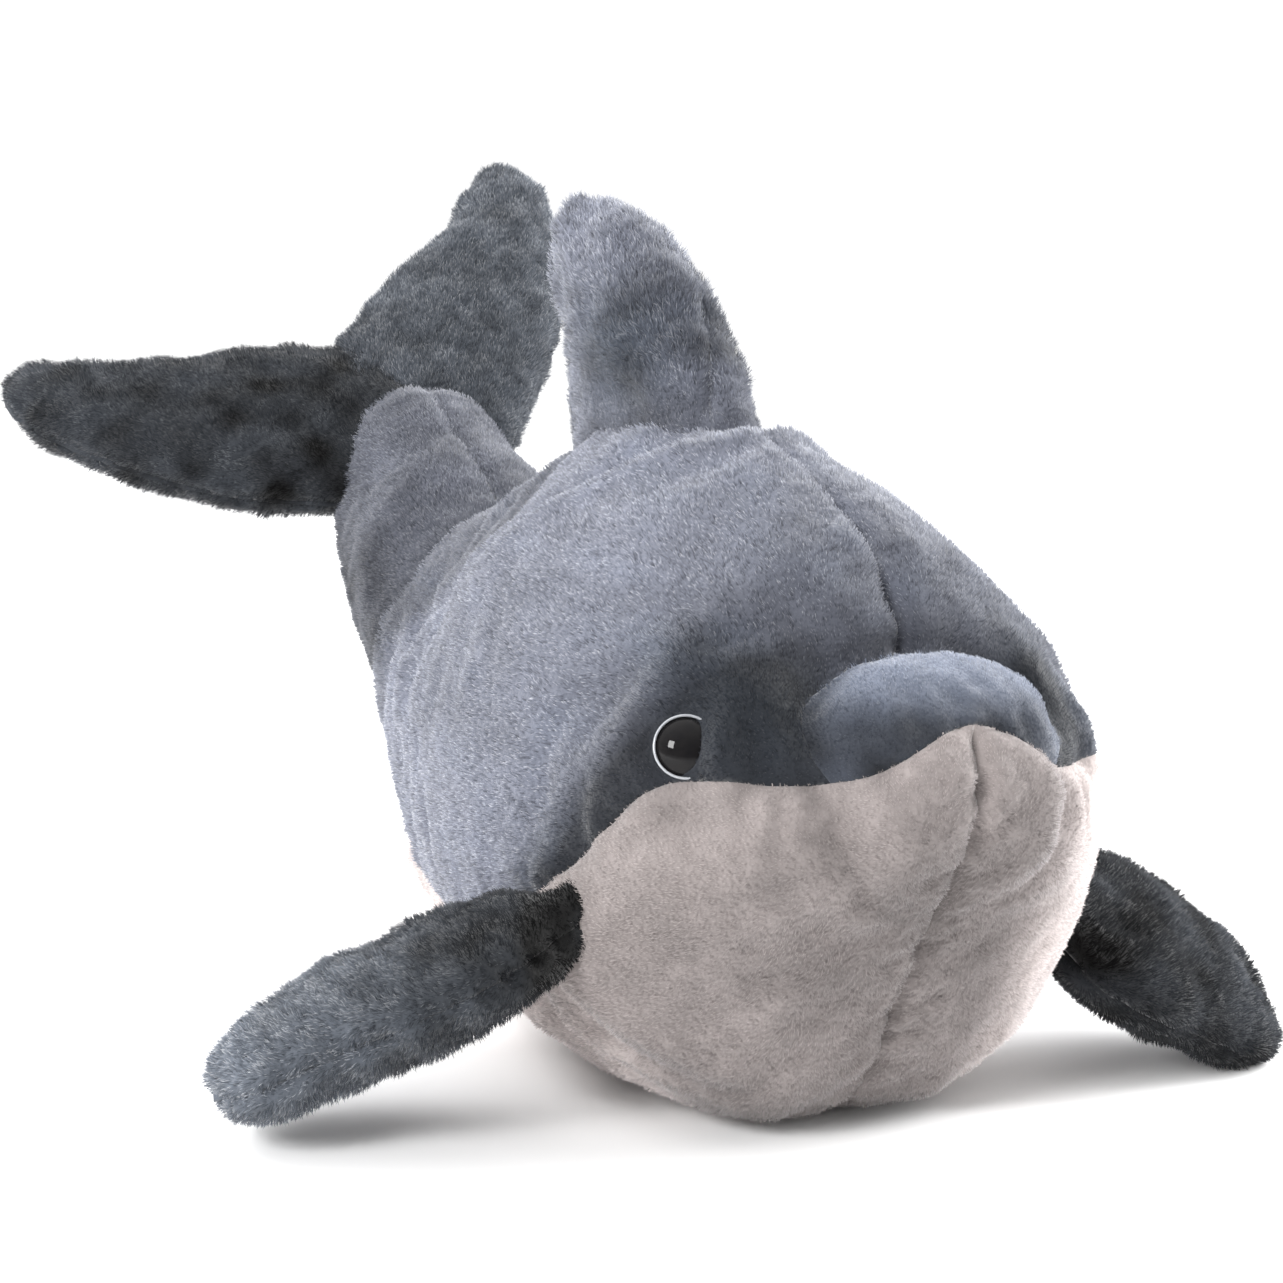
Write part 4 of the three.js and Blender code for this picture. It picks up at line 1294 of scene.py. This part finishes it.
def sew_fin(form, place, names, fin, slot, seed, nap_mix, tones, edge=level_seam, sort=None):
    """A fin of two panels that meet in an edge seam, with their fur, set at its root on what it is sewn to."""
    verts, faces = form.mesh(72, 84)
    mesh = bpy.data.meshes.new(fin)
    mesh.from_pydata(verts.tolist(), [], faces)
    mesh.update()
    outward(mesh)
    move_to(mesh, smoothed(coordinates(mesh), edges_of(mesh), 2))
    cut_along(mesh, lambda points: points[:, 2] - edge(points))
    points = coordinates(mesh)
    depth = hump(points[:, 2] - edge(points), 0.0026) * 0.0016 * (1 + 0.5 * waves(points, 0.009, seed))
    depth += 0.0009 * waves(points, 0.022, seed + 1) + 0.0004 * waves(points, 0.009, seed + 2)
    points = points + vertex_normals(mesh) * (0.0004 - depth)[:, None]
    centres = face_centres(mesh)
    which = np.where(centres[:, 2] > edge(centres), 0, 1)
    points = moved(points, place)
    points[:, 2] = np.maximum(points[:, 2], FLOOR_CLEARANCE)
    move_to(mesh, points)
    outward(mesh)
    panels = cut_panels(mesh, names, which)
    inverse = np.linalg.inv(place)

    def nap(at, normal):
        return along_skin(np.tile(place[:3, :3] @ np.array([*nap_mix, 0.0]), (len(at), 1)), normal)

    def short(at):
        local = moved(at, inverse)
        return (1 - 0.3 * hump(local[:, 2] - edge(local), 0.0022)) * (0.55 + 0.45 * ease(local[:, 1], 0.002, 0.016))

    def tint_and_shade(at):
        local = moved(at, inverse)
        patch, tone = tones(local)
        return patch, np.clip(tone + waves(local, 0.02, seed) * 0.1, 0, 1)

    for index, name in enumerate(names):
        for piece in dress_panel(panels[name], name, slot, nap, seed + 10 + index, FABRIC * 0.8, short, tint_and_shade, sort):
            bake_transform(piece)
    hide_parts(fin + "_stuffing")


class PLUSH_OT_dorsal_fin(bpy.types.Operator):
    """Sew the dorsal fin and grow its fur"""

    bl_idname = "plush.dorsal_fin"
    bl_label = "Dorsal fin"

    def execute(self, context):
        hinge = joints["dorsal_lean"]["pos_m"]
        axes = np.array([[0, 0, 1, 0], [1, 0, 0, 0], [0, 1, 0, 0], [0, 0, 0, 1]], float)
        place = shift_by(hinge) @ axes
        form = fin_form(DORSAL_ROWS, DORSAL)
        names = ["dorsal_left", "dorsal_right"]
        middles = np.array(DORSAL_ROWS)[:, :2] * (DORSAL["length"], DORSAL["width"])

        # The seam of the fin's front winds from its left side, at the root, to its right side.
        def edge(points):
            front = 1 - ease(points[:, 0] - np.interp(points[:, 1], middles[:, 0], middles[:, 1]), -0.02, 0.0)
            return np.interp(points[:, 1] / DORSAL["length"], *zip(*DORSAL_SEAM)) * front

        nap, tones = (0.5, 1.0), dorsal_tones
        sew_fin(form, place, names, "dorsal", "back", 300, nap, tones, edge, "shag")
        return {"FINISHED"}


class PLUSH_OT_flippers(bpy.types.Operator):
    """Sew the two flippers and grow their fur"""

    bl_idname = "plush.flippers"
    bl_label = "Flippers"

    def execute(self, context):
        for side, sign in (("left", 1), ("right", -1)):
            more = FLIPPER_BROADER[side]
            form = fin_form([[r[0], r[1] + more, r[2] + more, r[3]] for r in FLIPPER_ROWS], FLIPPER)
            hinge = joints[side + "_flipper_flap"]["pos_m"]
            place = shift_by(hinge) @ turn("Z", sign * (FLIPPER_SWEEP[side] - 90))
            place = place @ turn("X", -FLIPPER_DROOP[side]) @ turn("Y", -sign * FLIPPER_PITCH[side])
            if sign < 0:
                place = place @ mirror()
            fin = "flipper_" + side
            names = [fin + "_top", fin + "_under"]
            reach, nap = (-0.002, 0.018), (-0.7, 0.7)
            tones = rising(FLIPPER, FLIPPER_PAINTED_SHADE[side])
            sew_fin(form, place, names, fin, "fin", 400 + sign * 20, nap, tones)
        return {"FINISHED"}


class PLUSH_OT_flukes(bpy.types.Operator):
    """Sew the two flukes of the tail and grow their fur"""

    bl_idname = "plush.flukes"
    bl_label = "Flukes"

    def execute(self, context):
        form = fin_form(FLUKE_ROWS, FLUKE)
        hinges = [np.array(joints[side + "_fluke_flap"]["pos_m"]) for side in ("left", "right")]
        middle = shift_by((hinges[0] + hinges[1]) / 2)
        middle = middle @ turn("Z", FLUKE_TURN) @ turn("X", FLUKE_RISE) @ turn("Y", -FLUKE_TWIST)
        for side, sign in (("left", 1), ("right", -1)):
            place = middle @ turn("Z", -sign * FLUKE_SPLAY)
            if sign > 0:
                place = place @ mirror()
            fin = "fluke_" + side
            names = [fin + "_top", fin + "_under"]
            reach, nap = (0.030, 0.055), (0.25, 1.0)
            tones = rising(FLUKE, FLUKE_PAINTED_SHADE[side])
            sew_fin(form, place, names, fin, "fin", 500 + sign * 20, nap, tones)
        return {"FINISHED"}


def lathe(profile):
    """Vertices and faces of a profile of (radius, height) turned about Z, those that close its ends last."""
    steps = TURN_STEPS
    verts, faces = [], []
    for radius, height in profile:
        for step in range(steps):
            angle = 2 * math.pi * step / steps
            verts.append((radius * math.cos(angle), radius * math.sin(angle), height))
    for ring in range(len(profile) - 1):
        for step in range(steps):
            after = (step + 1) % steps
            a, b = ring * steps, (ring + 1) * steps
            faces.append([a + step, a + after, b + after, b + step])
    verts += [(0, 0, profile[0][1]), (0, 0, profile[-1][1])]
    low, high = len(verts) - 2, len(verts) - 1
    top = (len(profile) - 1) * steps
    for step in range(steps):
        after = (step + 1) % steps
        faces += [[low, after, step], [high, top + step, top + after]]
    return verts, faces


class PLUSH_OT_eyes(bpy.types.Operator):
    """Set the two domed eyes with their collars into the head"""

    bl_idname = "plush.eyes"
    bl_label = "Eyes"

    def execute(self, context):
        black = Finish("eye_black")
        black.surface(
            Base_Color=black.mix(black.noise(400, 2, 0.5), (0.004, 0.004, 0.005), (0.010, 0.009, 0.009)),
            Roughness=0.04,
            Specular_IOR_Level=0.14,
        )
        rim = Finish("eye_rim")
        rim.surface(
            Base_Color=rim.mix(rim.noise(500, 2, 0.5), (0.24, 0.25, 0.27), (0.36, 0.37, 0.39)),
            Roughness=0.12,
            Specular_IOR_Level=0.6,
        )
        for side, sign in (("left", 1), ("right", -1)):
            point, normal = eye_place(sign)
            normal = unit(normal + np.array([0.0, EYE_ASIDE[side], 0.0]))
            aim = Vector(normal).to_track_quat("Z", "Y").to_matrix().to_4x4()
            matrix = Matrix.Translation(Vector(point - normal * EYE_INSET[side] + SHIFT)) @ aim
            dome = [(0.002, -EYE_SINK * 4), (0.0021, -EYE_SINK * 2), (EYE_RADIUS * 0.95, -EYE_SINK * 1.2)]
            for step in range(DOME_STEPS):
                angle = step / DOME_STEPS * math.pi / 2
                dome.append((math.cos(angle) * EYE_RADIUS * EYE_FIT, math.sin(angle) * EYE_DOME - EYE_SINK))
            ring = []
            for step in range(RIM_STEPS + 1):
                angle = step / RIM_STEPS * 2 * math.pi
                radius = EYE_RADIUS * EYE_FIT + math.cos(angle) * RIM_HALF_WIDTH
                ring.append((radius, RIM_HEIGHT + math.sin(angle) * RIM_HALF_HEIGHT))
            eye = "eye_" + side
            for name, profile, finish in ((eye + "_dome", dome, black), (eye + "_rim", ring, rim)):
                verts, faces = lathe(profile)
                if name.endswith("rim"):
                    faces = faces[: RIM_STEPS * TURN_STEPS]
                piece = new_object(name, verts, faces)
                piece.data.transform(matrix)
                with edited(piece.data) as made:
                    bmesh.ops.remove_doubles(made, verts=made.verts, dist=1e-6)
                    bmesh.ops.recalc_face_normals(made, faces=made.faces)
                piece.data.shade_smooth()
                store(piece.data, "place", coordinates(piece.data), "FLOAT_VECTOR")
                piece.data.materials.append(finish.material)
                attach(piece, "torso")
                if name.endswith("dome"):
                    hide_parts(eye)
        washer = Finish("washer_plastic")
        place = washer.node("ShaderNodeTexCoord", {}, {}, "Object")
        tone = washer.mix(washer.noise(300, 2, 0.5, place), (0.78, 0.78, 0.76), (0.88, 0.88, 0.86))
        washer.surface(Base_Color=tone, Roughness=0.5)
        for side in ("left", "right"):
            node = frame["nodes"]["eye_washer_" + side]
            node.data.materials.clear()
            node.data.materials.append(washer.material)
        return {"FINISHED"}


class PLUSH_OT_stage(bpy.types.Operator):
    """Lay the pale floor and set the studio lights and the camera"""

    bl_idname = "plush.stage"
    bl_label = "Stage"

    def execute(self, context):
        scene = context.scene
        floor = new_object("floor", [(-6, -6, 0), (6, -6, 0), (6, 6, 0), (-6, 6, 0)], [[0, 1, 2, 3]])
        floor.location.z = -0.0006
        finish = Finish("floor_paper")
        place = finish.node("ShaderNodeTexCoord", {}, {}, "Object")
        tone = finish.mix(finish.noise(30, 2, 0.5, place), PALE_FLOOR, shaded(PALE_FLOOR, 1.01))
        finish.surface(Base_Color=tone, Roughness=0.9, Specular_IOR_Level=0.1)
        floor.data.materials.append(finish.material)
        scene.view_settings.view_transform = "Standard"
        world = bpy.data.worlds.new("studio")
        scene.world = world
        world.use_nodes = True
        studio = Finish("studio", world.node_tree)
        way = studio.node("ShaderNodeTexCoord", {}, {}, "Generated")
        facing = studio.toward(way, (0.25, 0.9, 0.35))
        height = studio.toward(way, (0, 0, 1))
        strength = studio.range(facing, -0.4, 0.4, 0.30, 1.05) + studio.range(height, 0.3, 0.9, 0.0, 0.75)
        background = studio.node("ShaderNodeBackground", {}, {"Color": (1, 1, 1, 1), "Strength": strength})
        studio.node("ShaderNodeOutputWorld", {}, {"Surface": background}, None)
        for name, where, size, power, seen_in_eyes in LIGHTS:
            light = bpy.data.lights.new(name, "AREA")
            light.size, light.energy = size, power
            lamp = bpy.data.objects.new(name, light)
            lamp.location = where
            lamp.rotation_euler = (Vector((0, -0.05, 0.1)) - Vector(where)).to_track_quat("-Z", "Y").to_euler()
            lamp.visible_glossy = seen_in_eyes
            scene.collection.objects.link(lamp)
        camera_data = bpy.data.cameras.new("camera")
        camera = bpy.data.objects.new("camera", camera_data)
        scene.collection.objects.link(camera)
        scene.camera = camera
        angles = (CAMERA_AZIMUTH, CAMERA_ELEVATION, CAMERA_ROLL)
        azimuth, elevation, roll = (math.radians(angle) for angle in angles)
        level = math.cos(elevation)
        back = Vector((math.sin(azimuth) * level, -math.cos(azimuth) * level, math.sin(elevation)))
        right = Vector((math.cos(azimuth), math.sin(azimuth), 0))
        up = back.cross(right)
        right, up = right * math.cos(roll) + up * math.sin(roll), up * math.cos(roll) - right * math.sin(roll)
        target = Vector(CAMERA_TARGET) + Vector(SHIFT)
        place = Matrix((right, up, back)).transposed().to_4x4()
        place.translation = target + back * CAMERA_DISTANCE
        camera.matrix_world = place
        camera_data.sensor_width = SENSOR_WIDTH
        camera_data.lens = SENSOR_WIDTH * PHOTO_FOCAL / PHOTO_WIDTH
        camera_data.clip_start, camera_data.clip_end = 0.05, 50
        return {"FINISHED"}


class PlushSizes(bpy.types.PropertyGroup):
    """Sizes of the fabric and its fur"""

    pile: bpy.props.FloatProperty(
        name="Fur", description="Length of the back's fur", default=0.0026, unit="LENGTH"
    )
    blade: bpy.props.FloatProperty(
        name="Tuft", description="Width of a tuft of fibre", default=0.00022, unit="LENGTH"
    )
    weave: bpy.props.FloatProperty(
        name="Weave", description="Grid step of the simulated cloth", default=0.0045, unit="LENGTH"
    )
    pressure: bpy.props.FloatProperty(
        name="Filling", description="Pressure of the filling on the cloth", default=4.0
    )
    ease: bpy.props.FloatProperty(
        name="Ease", description="How much larger the cloth is cut than its form", default=0.03
    )
    density: bpy.props.FloatProperty(name="Density", description="Tufts on a square metre", default=2.2e6)
    voxel: bpy.props.FloatProperty(
        name="Cloth step", description="Grid step of the cloth", default=0.0018, unit="LENGTH"
    )
    roll: bpy.props.FloatProperty(
        name="Rolled edge", description="Edge rolled in at the crease", default=0.007, unit="LENGTH"
    )


class PlushColours(bpy.types.PropertyGroup):
    """Colours of the fur"""

    back: bpy.props.FloatVectorProperty(
        name="Back",
        description="Blue-grey of the back",
        default=(0.232, 0.247, 0.308),
        size=3,
        subtype="COLOR",
    )
    beak: bpy.props.FloatVectorProperty(
        name="Beak",
        description="Darker grey of the beak",
        default=(0.205, 0.235, 0.310),
        size=3,
        subtype="COLOR",
    )
    belly: bpy.props.FloatVectorProperty(
        name="Belly",
        description="Pale pinkish grey of the belly",
        default=(0.740, 0.655, 0.635),
        size=3,
        subtype="COLOR",
    )
    fin: bpy.props.FloatVectorProperty(
        name="Fins",
        description="Dark slate of flippers and flukes",
        default=(0.135, 0.152, 0.182),
        size=3,
        subtype="COLOR",
    )
    patch: bpy.props.FloatVectorProperty(
        name="Face patch",
        description="Teal grey before the eyes",
        default=(0.100, 0.145, 0.215),
        size=3,
        subtype="COLOR",
    )


OPERATORS = (
    PLUSH_OT_torso,
    PLUSH_OT_tail,
    PLUSH_OT_dorsal_fin,
    PLUSH_OT_flippers,
    PLUSH_OT_flukes,
    PLUSH_OT_eyes,
    PLUSH_OT_stage,
)


class PLUSH_PT_panel(bpy.types.Panel):
    """Lists the steps that make the plush dolphin"""

    bl_idname = "PLUSH_PT_panel"
    bl_label = "Plush dolphin"
    bl_space_type = "VIEW_3D"
    bl_region_type = "UI"
    bl_category = "Plush"

    def draw(self, context):
        for group in (context.scene.plush_sizes, context.scene.plush_colours):
            for key in group.__annotations__:
                self.layout.prop(group, key)
        for operator in OPERATORS:
            self.layout.operator(operator.bl_idname)


CLASSES = (PlushSizes, PlushColours, *OPERATORS, PLUSH_PT_panel)


def register():
    for item in CLASSES:
        bpy.utils.register_class(item)
    bpy.types.Scene.plush_sizes = bpy.props.PointerProperty(type=PlushSizes)
    bpy.types.Scene.plush_colours = bpy.props.PointerProperty(type=PlushColours)


def unregister():
    del bpy.types.Scene.plush_colours
    del bpy.types.Scene.plush_sizes
    for item in reversed(CLASSES):
        bpy.utils.unregister_class(item)


def main():
    register()
    for operator in OPERATORS:
        group, name = operator.bl_idname.split(".")
        getattr(getattr(bpy.ops, group), name)()


if __name__ == "__main__":
    main()
